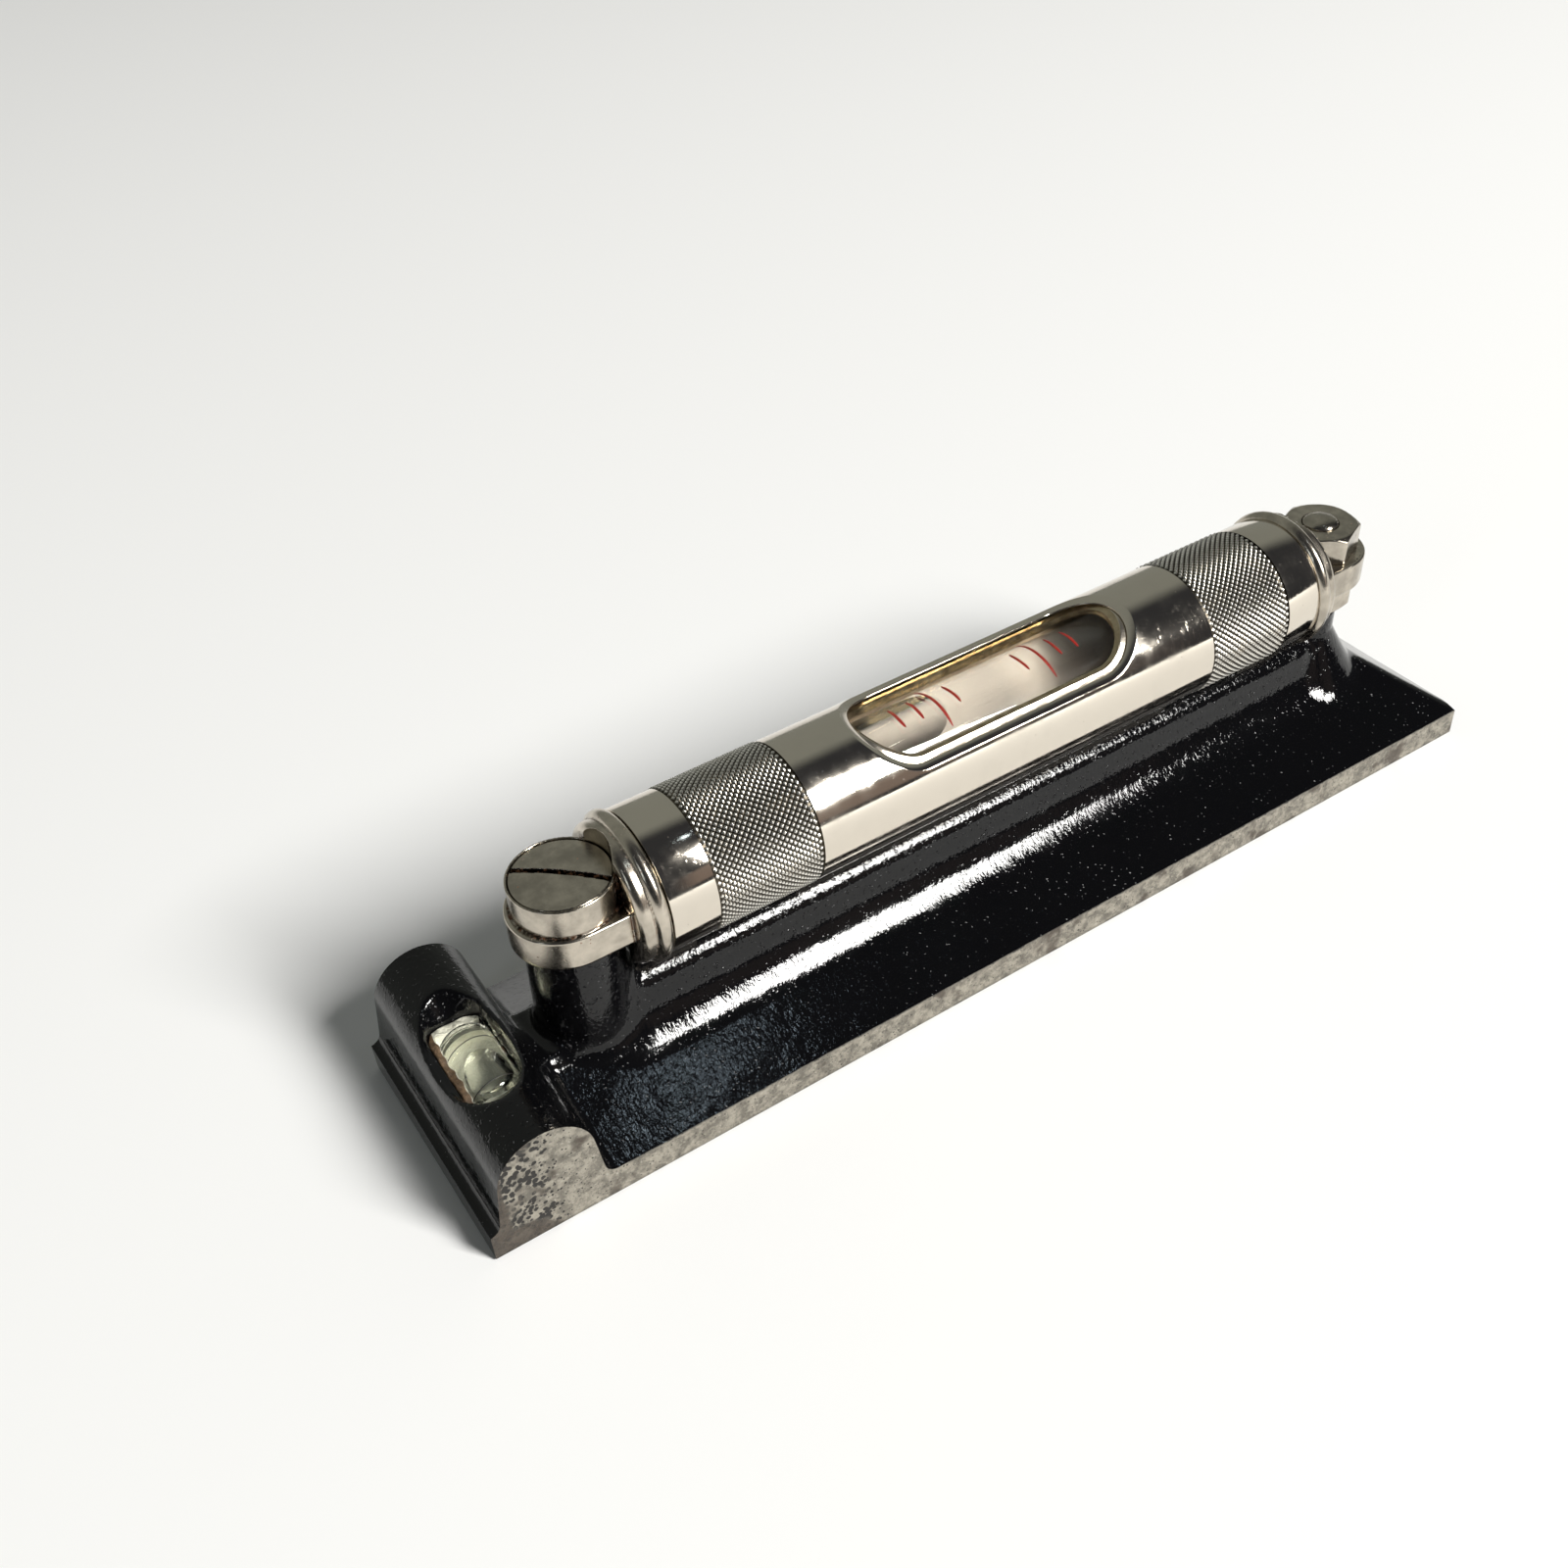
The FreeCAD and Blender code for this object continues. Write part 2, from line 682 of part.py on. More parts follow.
parts = {
    "base_casting": base_casting,
    "cross_vial_glass": cross_vial_glass,
    "cross_vial_spirit": cross_vial_spirit,
    "cross_vial_bedding": cross_vial_bedding,
    "vial_tube": vial_tube,
    "sleeve": sleeve,
    "pivot_end_cap": pivot_end_cap,
    "adjusting_end_cap": adjusting_end_cap,
    "pivot_cap_pin": lambda: cap_pin(-1),
    "adjusting_cap_pin": lambda: cap_pin(1),
    "main_vial_glass": main_vial_glass,
    "main_vial_spirit": main_vial_spirit,
    "main_vial_backing": vial_backing,
    "pivot_side_bedding": lambda: vial_bedding(-1),
    "adjusting_side_bedding": lambda: vial_bedding(1),
    "pivot_screw": pivot_screw,
    "adjusting_stud": adjusting_stud,
    "upper_adjusting_nut": upper_adjusting_nut,
    "lower_adjusting_nut": lower_adjusting_nut,
}

os.makedirs("parts", exist_ok=True)
for name, make in parts.items():
    solid = make()
    solid.exportStep("parts/" + name + ".step")
    box = solid.BoundBox
    print(name, len(solid.Solids), "solid,", round(solid.Volume, 2), "mm3,", solid.isValid(),
          [round(v, 2) for v in (box.XMin, box.YMin, box.ZMin, box.XMax, box.YMax, box.ZMax)])
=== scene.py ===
"""Dresses a machinist's precision level: its casting, plated tube and sleeve, vials, screws and finishes.

Shapes are worked out in millimetres in the part's own frame and are written to meshes in metres.
"""

import math

import bmesh
import bpy
import numpy as np
from bpy.props import FloatProperty, FloatVectorProperty, IntProperty, PointerProperty
from mathutils import Euler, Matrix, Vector


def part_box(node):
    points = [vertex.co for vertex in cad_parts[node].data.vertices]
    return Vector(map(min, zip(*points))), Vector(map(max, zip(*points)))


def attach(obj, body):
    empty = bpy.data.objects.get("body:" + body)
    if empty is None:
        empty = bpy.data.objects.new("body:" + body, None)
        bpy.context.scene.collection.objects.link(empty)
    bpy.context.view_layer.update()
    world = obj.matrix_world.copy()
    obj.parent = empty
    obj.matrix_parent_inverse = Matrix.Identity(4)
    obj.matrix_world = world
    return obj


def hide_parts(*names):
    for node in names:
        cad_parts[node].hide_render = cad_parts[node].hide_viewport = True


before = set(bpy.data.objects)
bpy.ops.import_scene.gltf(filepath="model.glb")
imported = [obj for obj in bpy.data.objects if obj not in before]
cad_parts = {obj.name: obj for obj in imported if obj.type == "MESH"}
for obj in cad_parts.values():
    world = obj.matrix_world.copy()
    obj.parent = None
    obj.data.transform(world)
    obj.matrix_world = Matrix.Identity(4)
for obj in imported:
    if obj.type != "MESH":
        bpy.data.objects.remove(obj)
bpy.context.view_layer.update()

bl_info = {
    "name": "Machinist's Level",
    "version": (1, 0, 0),
    "blender": (4, 5, 0),
    "location": "View3D > Sidebar > Level",
    "description": "Builds the pieces, finishes and studio of a machinist's precision level",
    "category": "Object",
}

MM = 0.001


def extent(node):
    """Lowest and highest corner of a node of the frame, in millimetres."""
    low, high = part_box(node)
    return np.array(low) / MM, np.array(high) / MM


def middle(node):
    low, high = extent(node)
    return (low + high) / 2


# ---- places taken from the frame ----------------------------------------------------------------
BASE_LOW, BASE_HIGH = extent("base_casting")
HALF_LENGTH = BASE_HIGH[0]
HALF_WIDTH = BASE_HIGH[1]
PIVOT_X = middle("pivot_screw")[0]
STUD_X = middle("adjusting_stud")[0]
TUBE_Z = middle("vial_tube")[2]
TUBE_START, TUBE_END = extent("vial_tube")[0][0], extent("vial_tube")[1][0]
SLEEVE_START, SLEEVE_END = extent("sleeve")[0][0], extent("sleeve")[1][0]
BARREL_X, CROSS_Y, CROSS_Z = middle("cross_vial_glass")
POST_TOP = BASE_HIGH[2]
BOSS_TOP = extent("pivot_screw")[1][2] - 0.35

# ---- casting, millimetres -----------------------------------------------------------------------
EDGE_Z = 4.3               # bare strip along both long sides
LEDGE_Z = 4.0              # step outside the barrel
RIGHT_END_Z = 4.66
ROOF_SLOPE = math.radians(27)
END_SLOPE = math.radians(36)
RIB_HALF = 4.7
RIB_Z = 17.05
RIB_SHOULDER = 3.3
RIB_HOLLOW = 9.4
RIB_FADE = (PIVOT_X - 2, PIVOT_X + 5)     # where the rib rises out of the roof
RIB_END = STUD_X - 4.725
ROOF_RIDGE = EDGE_Z + (HALF_WIDTH - RIB_HALF) * math.tan(ROOF_SLOPE)
SADDLE_Z = 11.6
BARREL_Z = 10.05
BARREL_R = 5.9
BARREL_DRAFT = math.radians(7)
DISH_X = BARREL_X - 0.9
DISH_Y = -0.5
DISH_HALF = (9.3, 5.4)     # half length and half width at the crest
DISH_TAPER = (2.2, 1.1)    # what each loses by the dish's floor
DISH_FLOOR_Z = 12.7
POCKET_X = BARREL_X - 0.35
POCKET_Y = -0.3
POCKET_HALF = (7.1, 3.5)
POCKET_FLOOR_Z = 7.0

# ---- tube line, millimetres ---------------------------------------------------------------------
TUBE_R, TUBE_BORE = 7.96, 6.72
SLEEVE_R, SLEEVE_BORE = 8.9, 8.03
SLEEVE_TURN = math.radians(10)
WINDOW_X = 3.8
SLEEVE_WINDOW = (19.8, 6.1)     # half length and half width of the opening
TUBE_WINDOW = (19.0, 5.6)
KNURLS = ((-39.9, -25.85), (34.0, 47.3))
KNURL_PITCH = 0.87
KNURL_ROUND = 66
BEAD_R, BEAD_W = 9.45, 1.95
COLLAR_R, COLLAR_W = 8.7, 1.7
LUG_HALF_Z = 2.2
GLASS_R, GLASS_BORE = 6.2, 5.1
GLASS_HALF = 37.0


# ---- settings -----------------------------------------------------------------------------------

class LevelCasting(bpy.types.PropertyGroup):
    """Sizes and colours of the casting's surface"""
    step: FloatProperty(
        name="Skin step", description="Spacing of the points of the casting's skin, in millimetres",
        default=0.42, min=0.3, max=2.0)
    ripple: FloatProperty(
        name="Ripple", description="Height of the slow waves in the cast surface, in millimetres",
        default=0.02, min=0.0, max=0.5)
    japan: FloatVectorProperty(
        name="Japan", description="Colour of the black japan", subtype="COLOR",
        default=(0.0022, 0.0022, 0.0026))
    iron: FloatVectorProperty(
        name="Bare iron", description="Colour of the ground iron", subtype="COLOR",
        default=(0.40, 0.37, 0.31))


class LevelMetal(bpy.types.PropertyGroup):
    """Colours of the plated pieces"""
    nickel: FloatVectorProperty(
        name="Nickel", description="Colour of polished nickel plate", subtype="COLOR",
        default=(0.72, 0.66, 0.57))
    satin: FloatVectorProperty(
        name="Satin nickel", description="Colour of the dulled plate on lugs, screw and nuts",
        subtype="COLOR", default=(0.62, 0.56, 0.47))
    rust: FloatVectorProperty(
        name="Rust", description="Colour of the rust specks", subtype="COLOR",
        default=(0.16, 0.06, 0.02))


class LevelVial(bpy.types.PropertyGroup):
    """Colours of the vials"""
    backing: FloatVectorProperty(
        name="Backing", description="Colour of the strip behind the main vial", subtype="COLOR",
        default=(0.29, 0.245, 0.208))
    line: FloatVectorProperty(
        name="Graduations", description="Colour of the filled graduation lines", subtype="COLOR",
        default=(0.28, 0.010, 0.006))
    cement: FloatVectorProperty(
        name="Cement", description="Colour of the aged cement round the cross vial", subtype="COLOR",
        default=(0.17, 0.105, 0.055))
    plaster: FloatVectorProperty(
        name="Plaster", description="Colour of the plaster at the main vial's ends", subtype="COLOR",
        default=(0.36, 0.29, 0.23))


class LevelStudio(bpy.types.PropertyGroup):
    """Camera and light"""
    lens: FloatProperty(
        name="Lens", description="Focal length on a 36 mm sensor, in millimetres", default=38.57,
        min=10)
    key: FloatProperty(name="Key light", description="Brightness of the key panel", default=51.0)
    floor: FloatVectorProperty(
        name="Floor", description="Colour of the floor", subtype="COLOR", default=(0.86, 0.86, 0.86))


# ---- fields: distance to a solid's surface, negative inside, in millimetres ---------------------

def join(a, b, radius):
    """Union of two fields with a round fillet: near both surfaces the distance to the fillet's arc."""
    arc = np.hypot(np.maximum(radius - a, 0), np.maximum(radius - b, 0))
    return np.maximum(radius, np.minimum(a, b)) - arc


def cross(a, b, radius):
    """What two fields share, its edge rounded: the union of their outsides, turned inside out."""
    return -join(-a, -b, radius)


def cut(a, b, radius):
    """Field a without b, the new edge rounded."""
    return cross(a, -b, radius)


def bar(x, y, start, end, radius):
    """Plan of a round-ended bar: distance to the stretch from start to end, less its radius."""
    return np.hypot(x - np.clip(x, start, end), y) - radius


def casting(x, y, z):
    """The base: two sloping roofs and a hip, a round-topped rib, posts, a barrel and its dish.

    Each roof is a tilted plane; rib and saddle are round-ended bars cut off by a level plane; posts
    are discs whose radius changes with height; the barrel is a circle with walls that lean out
    below it; the dish is an oval that narrows downwards. They join with round fillets.
    """
    roof = np.maximum(above_roof(abs(y), z), z - ROOF_RIDGE)
    hip = (x - HALF_LENGTH) * math.sin(END_SLOPE) + (z - RIGHT_END_Z) * math.cos(END_SLOPE)
    body = np.maximum(cross(roof, hip, 0.8), BARREL_X - x)
    body = np.minimum(body, z - LEDGE_Z)
    rise = np.clip((x - RIB_FADE[0]) / (RIB_FADE[1] - RIB_FADE[0]), 0, 1)
    rise = rise * rise * (3 - 2 * rise)
    body = body + rise * np.minimum(ribbed(bar(x, y, -HALF_LENGTH, RIB_END, 0), z) - body, 0)
    saddle = cross(bar(x, y, BARREL_X, PIVOT_X, RIB_HALF), z - SADDLE_Z, 1.0)
    body = join(body, saddle, 1.0)
    post = cross(np.hypot(x - PIVOT_X, y) - 5.95 + 0.025 * (z - 10.5), z - POST_TOP, 0.3)
    body = join(body, post, 1.5)
    flare = 3.9 + 3.9 * (np.maximum(16.6 - z, 0) / 6.8) ** 1.15
    stud_post = cross(np.hypot(x - STUD_X, y) - flare, z - 19.85, 0.3)
    body = join(body, stud_post, 0.8)
    body = join(body, barrel(x, z), 1.3)
    narrowing = (BARREL_Z + BARREL_R - z) / (BARREL_Z + BARREL_R - DISH_FLOOR_Z)
    long_half = DISH_HALF[0] - DISH_TAPER[0] * narrowing
    wide_half = DISH_HALF[1] - DISH_TAPER[1] * narrowing
    oval = (np.hypot((y - DISH_Y) / long_half, (x - DISH_X) / wide_half) - 1) * wide_half
    body = cut(body, cross(oval, DISH_FLOOR_Z - z, 0.8), 0.45)
    body = cut(body, np.maximum(pocket(x, y), POCKET_FLOOR_Z - z), 0.25)
    excess = 0.5
    outside = np.maximum(abs(x) - HALF_LENGTH - excess, abs(y) - HALF_WIDTH - excess)
    return np.maximum(body, np.maximum(outside, -excess - z))


def above_roof(out, z):
    """Height over the sloping roof at some distance from the middle, square to the slope."""
    return (out - HALF_WIDTH) * math.sin(ROOF_SLOPE) + (z - EDGE_Z) * math.cos(ROOF_SLOPE)


def ribbed(out, z):
    """The rib's section by distance from its spine: flat top, round shoulder, hollow, then roof.

    The hollow's circle touches the shoulder's circle on the line between their centres, and touches
    the roof at the foot of its own radius. Each arc holds inside its own wedge.
    """
    slope = np.array([math.sin(ROOF_SLOPE), math.cos(ROOF_SLOPE)])
    shoulder_at = np.array([RIB_HALF - RIB_SHOULDER, RIB_Z - RIB_SHOULDER])
    lift = RIB_HOLLOW - above_roof(*shoulder_at)
    run = math.sqrt((RIB_SHOULDER + RIB_HOLLOW) ** 2 - lift ** 2)
    hollow_at = shoulder_at + slope * lift + np.array([slope[1], -slope[0]]) * run
    across, up = out - hollow_at[0], z - hollow_at[1]
    towards = shoulder_at - hollow_at
    under = towards[0] * up - towards[1] * across > 0
    inside = across * slope[1] - up * slope[0] < 0
    shoulder = np.hypot(np.maximum(out - shoulder_at[0], 0), np.maximum(z - shoulder_at[1], 0))
    hollow = RIB_HOLLOW - np.hypot(across, up)
    lower = np.where(inside, hollow, above_roof(out, z))
    return np.where(under, lower, shoulder - RIB_SHOULDER)


def pocket(x, y, room=0.0):
    """Plan of the cross vial's opening: a box whose corners are rounded, shrunk by some room."""
    across = abs(x - POCKET_X) - POCKET_HALF[1] + room
    along = abs(y - POCKET_Y) - POCKET_HALF[0] + room
    return cross(across, along, 2.2)


def barrel(x, z):
    """A circle, or below the point where the wall leaves it, the wall's own straight line."""
    across, height = abs(x - BARREL_X), z - BARREL_Z
    lean = (math.cos(BARREL_DRAFT), math.sin(BARREL_DRAFT))
    wall = across * lean[0] + height * lean[1] - BARREL_R
    below = across * lean[1] - height * lean[0] > 0
    return np.where(below, wall, np.hypot(across, height) - BARREL_R)


def cap_turned(x, y, z, face, way):
    """Half-round bead and round-shouldered collar, by distance from the axis and from the face."""
    out = (x - face) * way
    off_axis = np.hypot(y, z - TUBE_Z)
    half = BEAD_W / 2
    bead = np.hypot(np.maximum(off_axis - BEAD_R + half, 0), out - half) - half
    collar = cross(off_axis - COLLAR_R, out - BEAD_W - COLLAR_W, 1.0)
    collar = np.maximum(collar, 0.5 - out)
    plug = np.maximum(off_axis - TUBE_BORE + 0.02, abs(out + 2) - 2.5)
    return np.minimum(join(bead, collar, 0.12), plug)


def lug_plate(outline, z):
    """A lug of that outline, its lower edge rounded more than its upper one."""
    lug = cross(outline, z - TUBE_Z - LUG_HALF_Z, 0.3)
    return cross(lug, TUBE_Z - LUG_HALF_Z - z, 0.6)


def pivot_cap(x, y, z):
    """Turned end, a lug that is a round-ended bar, a boss over it and the counterbore in the boss."""
    body = cap_turned(x, y, z, TUBE_START, -1)
    lug = lug_plate(bar(x, y, PIVOT_X - 0.3, TUBE_START - 1.5, 6.6), z)
    body = join(body, lug, 0.2)
    round_pivot = np.hypot(x - PIVOT_X, y)
    boss = cross(round_pivot - 6.14, abs(z - 31) - BOSS_TOP + 31, 0.14)
    body = join(body, boss, 0.1)
    recess = np.maximum(round_pivot - 5.84, 28.8 - z)
    body = cut(body, recess, 0.07)
    post_room = np.maximum(round_pivot - 6.3, z - TUBE_Z + LUG_HALF_Z)
    body = cut(body, post_room, 0.1)
    return cut(body, round_pivot - 2.5, 0.1)


def adjusting_cap(x, y, z):
    """Turned end and a lug that is a round-ended bar, with round flats where the nuts bear."""
    body = cap_turned(x, y, z, TUBE_END, 1)
    lug = lug_plate(bar(x, y, TUBE_END + 1.5, STUD_X, 6.4), z)
    body = join(body, lug, 0.2)
    round_stud = np.hypot(x - STUD_X, y)
    nut_room = np.maximum(round_stud - 5.83, LUG_HALF_Z - abs(z - TUBE_Z))
    body = cut(body, nut_room, 0.1)
    return cut(body, round_stud - 2.5, 0.1)


def screw(x, y, z):
    """Disc with a crowned top, part of a sphere, a shank below and a straight slot across."""
    round_axis = np.hypot(x - PIVOT_X, y)
    crown_radius = (5.72 ** 2 + 0.45 ** 2) / 0.9
    crown = np.hypot(round_axis, z - (BOSS_TOP + 0.35 - crown_radius)) - crown_radius
    head = cross(np.maximum(round_axis - 5.72, 28.9 - z), crown, 0.1)
    shank = np.maximum(round_axis - 2.4, abs(z - 24) - 6)
    turn = math.radians(-43)
    across = abs((y * math.cos(turn) - (x - PIVOT_X) * math.sin(turn))) - 0.325
    slot = np.maximum(across, BOSS_TOP - 0.75 - z)
    return cut(np.minimum(head, shank), slot, 0.05)


def nut(low, high, turn, top, bottom):
    """Field of a hexagon nut: three pairs of flats, a cone on each chamfered face, and the bore."""
    def field(x, y, z):
        round_axis = np.hypot(x - STUD_X, y)
        flats = None
        for side in range(3):
            angle = turn + math.pi / 6 + side * math.pi / 3
            pair = abs((x - STUD_X) * math.cos(angle) + y * math.sin(angle)) - 4.75
            flats = pair if flats is None else cross(flats, pair, 0.15)
        body = cross(flats, abs(z - (low + high) / 2) - (high - low) / 2, 0.12)
        cone = math.radians(29)
        for chamfered, rise in ((top, z - high), (bottom, low - z)):
            if chamfered:
                slope = (round_axis - 4.65) * math.sin(cone) + rise * math.cos(cone)
                body = cross(body, slope, 0.12)
        return cut(body, round_axis - 2.45, 0.12)
    return field


# ---- skins --------------------------------------------------------------------------------------

def slope_of(field, place):
    """How fast a field rises at each point, by differences over a few micrometres."""
    reach = 0.004
    slope = np.empty_like(place)
    for axis in range(3):
        offset = np.zeros(3)
        offset[axis] = reach
        slope[:, axis] = (field(*(place + offset).T) - field(*(place - offset).T)) / (2 * reach)
    return slope


def settle(field, place, reach, rounds=4):
    """Moves points down the slope of a field until they lie where it is zero."""
    for _ in range(rounds):
        slope = slope_of(field, place)
        steep = np.maximum((slope ** 2).sum(1), 0.05)
        move = np.clip(field(*place.T) / steep, -reach, reach)
        place = place - slope * move[:, None]
    return place


def skin(field, low, high, step):
    """Surface net of a field's zero: one point in each cell that the surface passes through.

    The point is the mean of the places where the surface crosses the cell's edges, and each crossed
    edge of the grid gives one face through the four cells round it.
    """
    low = np.array(low, float)
    cells = np.ceil((np.array(high) - low) / step).astype(int)
    axes = [low[i] + step * np.arange(cells[i] + 1) for i in range(3)]
    value = field(*np.meshgrid(*axes, indexing="ij", sparse=True))
    quads, points = [], []
    for axis in range(3):
        order = [axis, (axis + 1) % 3, (axis + 2) % 3]
        turned = value.transpose(order)
        i, j, k = np.nonzero((turned[:-1] < 0) != (turned[1:] < 0))
        before, after = turned[i, j, k], turned[i + 1, j, k]
        point = np.empty((len(i), 3))
        point[:, order] = np.c_[i + before / (before - after), j, k]
        corners = []
        for dj, dk in ((-1, -1), (0, -1), (0, 0), (-1, 0)):
            cell = np.empty((len(i), 3), int)
            cell[:, order] = np.c_[i, j + dj, k + dk]
            corners.append(np.ravel_multi_index(cell.T, cells, mode="clip"))
        quad = np.stack(corners, 1)
        quad[before > 0] = quad[before > 0][:, ::-1]
        quads.append(quad)
        points.append(point)
    quads, points = np.concatenate(quads), np.concatenate(points)
    used, faces = np.unique(quads, return_inverse=True)
    faces = faces.reshape(quads.shape)
    total = np.zeros((len(used), 3))
    for axis in range(3):
        weight = np.repeat(points[:, axis], 4)
        total[:, axis] = np.bincount(faces.ravel(), weight, len(used))
    hits = np.bincount(faces.ravel(), minlength=len(used))
    place = low + step * total / hits[:, None]
    return settle(field, place, step / 2), faces


def lattice_noise(x, y, z, size, seed):
    """Smooth random height: random values at the corners of a grid, blended between them."""
    table = np.random.default_rng(seed).uniform(-1, 1, 4096)
    spot = np.stack([x, y, z]) / size
    cell = np.floor(spot).astype(int)
    inner = spot - cell
    inner = inner * inner * (3 - 2 * inner)
    total = 0
    for corner in np.ndindex(2, 2, 2):
        key = (cell[0] + corner[0]) * 73 + (cell[1] + corner[1]) * 179 + (cell[2] + corner[2]) * 283
        weight = 1
        for axis in range(3):
            weight = weight * (inner[axis] if corner[axis] else 1 - inner[axis])
        total = total + weight * table[(key * (key % 97 + 31)) % 4096]
    return total


def rippled(field, height):
    """A field with the slow waves of a cast and dipped surface added to it."""
    def waved(x, y, z):
        wave = lattice_noise(x, y, z, 4.3, 1) + 0.55 * lattice_noise(x, y, z, 1.9, 2)
        return field(x, y, z) + height * wave
    return waved


# ---- meshes -------------------------------------------------------------------------------------

def mesh_from(name, place, faces):
    mesh = bpy.data.meshes.new(name)
    mesh.from_pydata((np.asarray(place) * MM).tolist(), [], [list(face) for face in faces])
    return mesh


def stand_in(name, mesh, body, nodes, slot, *finishes):
    """Makes the piece of a mesh, gives it its finishes and puts it on its body in place of nodes."""
    piece = bpy.data.objects.new(name, mesh)
    bpy.context.scene.collection.objects.link(piece)
    for finish in finishes:
        mesh.materials.append(finish)
    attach(piece, body)
    if nodes:
        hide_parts(*nodes)
    return piece


def add_hollows(mesh, field, reach=0.45):
    """Stores how hollow and how edge-like the surface is, as seen by the field a little way off it."""
    place = np.empty(len(mesh.vertices) * 3)
    mesh.vertices.foreach_get("co", place)
    place = place.reshape(-1, 3) / MM
    slope = slope_of(field, place)
    slope /= np.maximum(np.linalg.norm(slope, axis=1, keepdims=True), 1e-6)
    hollow = 1 - field(*(place + slope * reach).T) / reach
    edge = 1 + field(*(place - slope * reach).T) / reach
    for name, values in (("hollow", hollow), ("edge", edge)):
        layer = mesh.attributes.new(name, "FLOAT", "POINT")
        layer.data.foreach_set("value", np.clip(values, 0, 1).astype(np.float32))
    return slope


def smooth_by_field(mesh, slope):
    """Gives each corner the direction in which the field rises, and flat caps their own."""
    corners = np.empty(len(mesh.loops), int)
    mesh.loops.foreach_get("vertex_index", corners)
    normals = slope[corners]
    if "flat" in mesh.attributes:
        flat = np.empty(len(mesh.polygons), bool)
        mesh.attributes["flat"].data.foreach_get("value", flat)
        for index in np.nonzero(flat)[0]:
            polygon = mesh.polygons[index]
            normals[polygon.loop_start:polygon.loop_start + polygon.loop_total] = polygon.normal
    mesh.shade_smooth()
    mesh.normals_split_custom_set(normals)


def field_mesh(name, field, low, high, step):
    place, faces = skin(field, low, high, step)
    mesh = mesh_from(name, place, faces.tolist())
    smooth_by_field(mesh, add_hollows(mesh, field))
    return mesh


def patches_mesh(name, patches, sharp=30, turn=0.0):
    """One closed mesh of patches that share their borders, turned about the tube axis."""
    bm = bmesh.new()
    for place, faces in patches:
        corners = [bm.verts.new(tuple(point * MM)) for point in place]
        for face in faces:
            bm.faces.new([corners[i] for i in face])
    bmesh.ops.remove_doubles(bm, verts=bm.verts, dist=2e-6)
    bmesh.ops.delete(bm, geom=[v for v in bm.verts if not v.link_faces], context="VERTS")
    bmesh.ops.recalc_face_normals(bm, faces=bm.faces)
    centre = Vector((0, 0, TUBE_Z * MM))
    bmesh.ops.rotate(bm, verts=bm.verts, cent=centre, matrix=Euler((turn, 0, 0)).to_matrix())
    mesh = bpy.data.meshes.new(name)
    bm.to_mesh(mesh)
    bm.free()
    mesh.shade_smooth()
    mesh.set_sharp_from_angle(angle=math.radians(sharp))
    return mesh


def sheet_faces(rows, columns, wrap=False):
    """Faces of a grid of points stored row by row; wrap closes each row on itself."""
    across = columns if wrap else columns - 1
    i, j = np.meshgrid(np.arange(rows - 1), np.arange(across), indexing="ij")
    i, j = i.ravel(), j.ravel()
    k = (j + 1) % columns
    return np.stack([i * columns + j, i * columns + k, (i + 1) * columns + k, (i + 1) * columns + j], 1)


def turned_patch(profile, count, along_x=True, centre=(0, 0)):
    """Surface of revolution: each (radius, station) of the profile goes round the axis in equal steps.

    The axis runs along X at height centre[1], or upright at (centre[0], centre[1]).
    """
    profile = np.array(profile, float)
    angle = 2 * math.pi * np.arange(count) / count
    out = profile[:, :1] * np.sin(angle)
    up = profile[:, :1] * np.cos(angle)
    station = np.repeat(profile[:, 1:], count, axis=1)
    if along_x:
        place = np.stack([station, out + centre[0], up + centre[1]], 2)
    else:
        place = np.stack([out + centre[0], up + centre[1], station], 2)
    return place.reshape(-1, 3), sheet_faces(len(profile), count, wrap=True)


def round_end(radius, station, way, cap, count=8):
    """Profile of a rod's domed end: a quarter ellipse from the rim to the axis."""
    angle = np.linspace(0, math.pi / 2, count)
    return np.c_[radius * np.cos(angle), station + way * (cap * np.sin(angle) - cap)]


def rod_profile(radius, start, end, cap):
    steps = np.linspace(start + cap, end - cap, 24)[1:-1]
    side = np.c_[np.full(len(steps), radius), steps]
    return np.r_[round_end(radius, start, -1, cap)[::-1], side, round_end(radius, end, 1, cap)]


# ---- windowed tubes -----------------------------------------------------------------------------

ROUND = 2 * KNURL_ROUND     # points round the sleeve and the tube


def on_tube(x, angle, radius):
    """Points by station, angle from the top towards +Y, and distance from the tube axis."""
    x, angle, radius = np.broadcast_arrays(x, angle, radius)
    return np.stack([x, radius * np.sin(angle), TUBE_Z + radius * np.cos(angle)], -1)


def rings(profile):
    """Patch of rings, each (radius, station) of the profile going once round the tube axis."""
    profile = np.array(profile, float)
    angle = 2 * math.pi * np.arange(ROUND) / ROUND - math.pi
    place = on_tube(profile[:, 1:], angle[None, :], profile[:, :1])
    return place.reshape(-1, 3), sheet_faces(len(profile), ROUND, wrap=True)


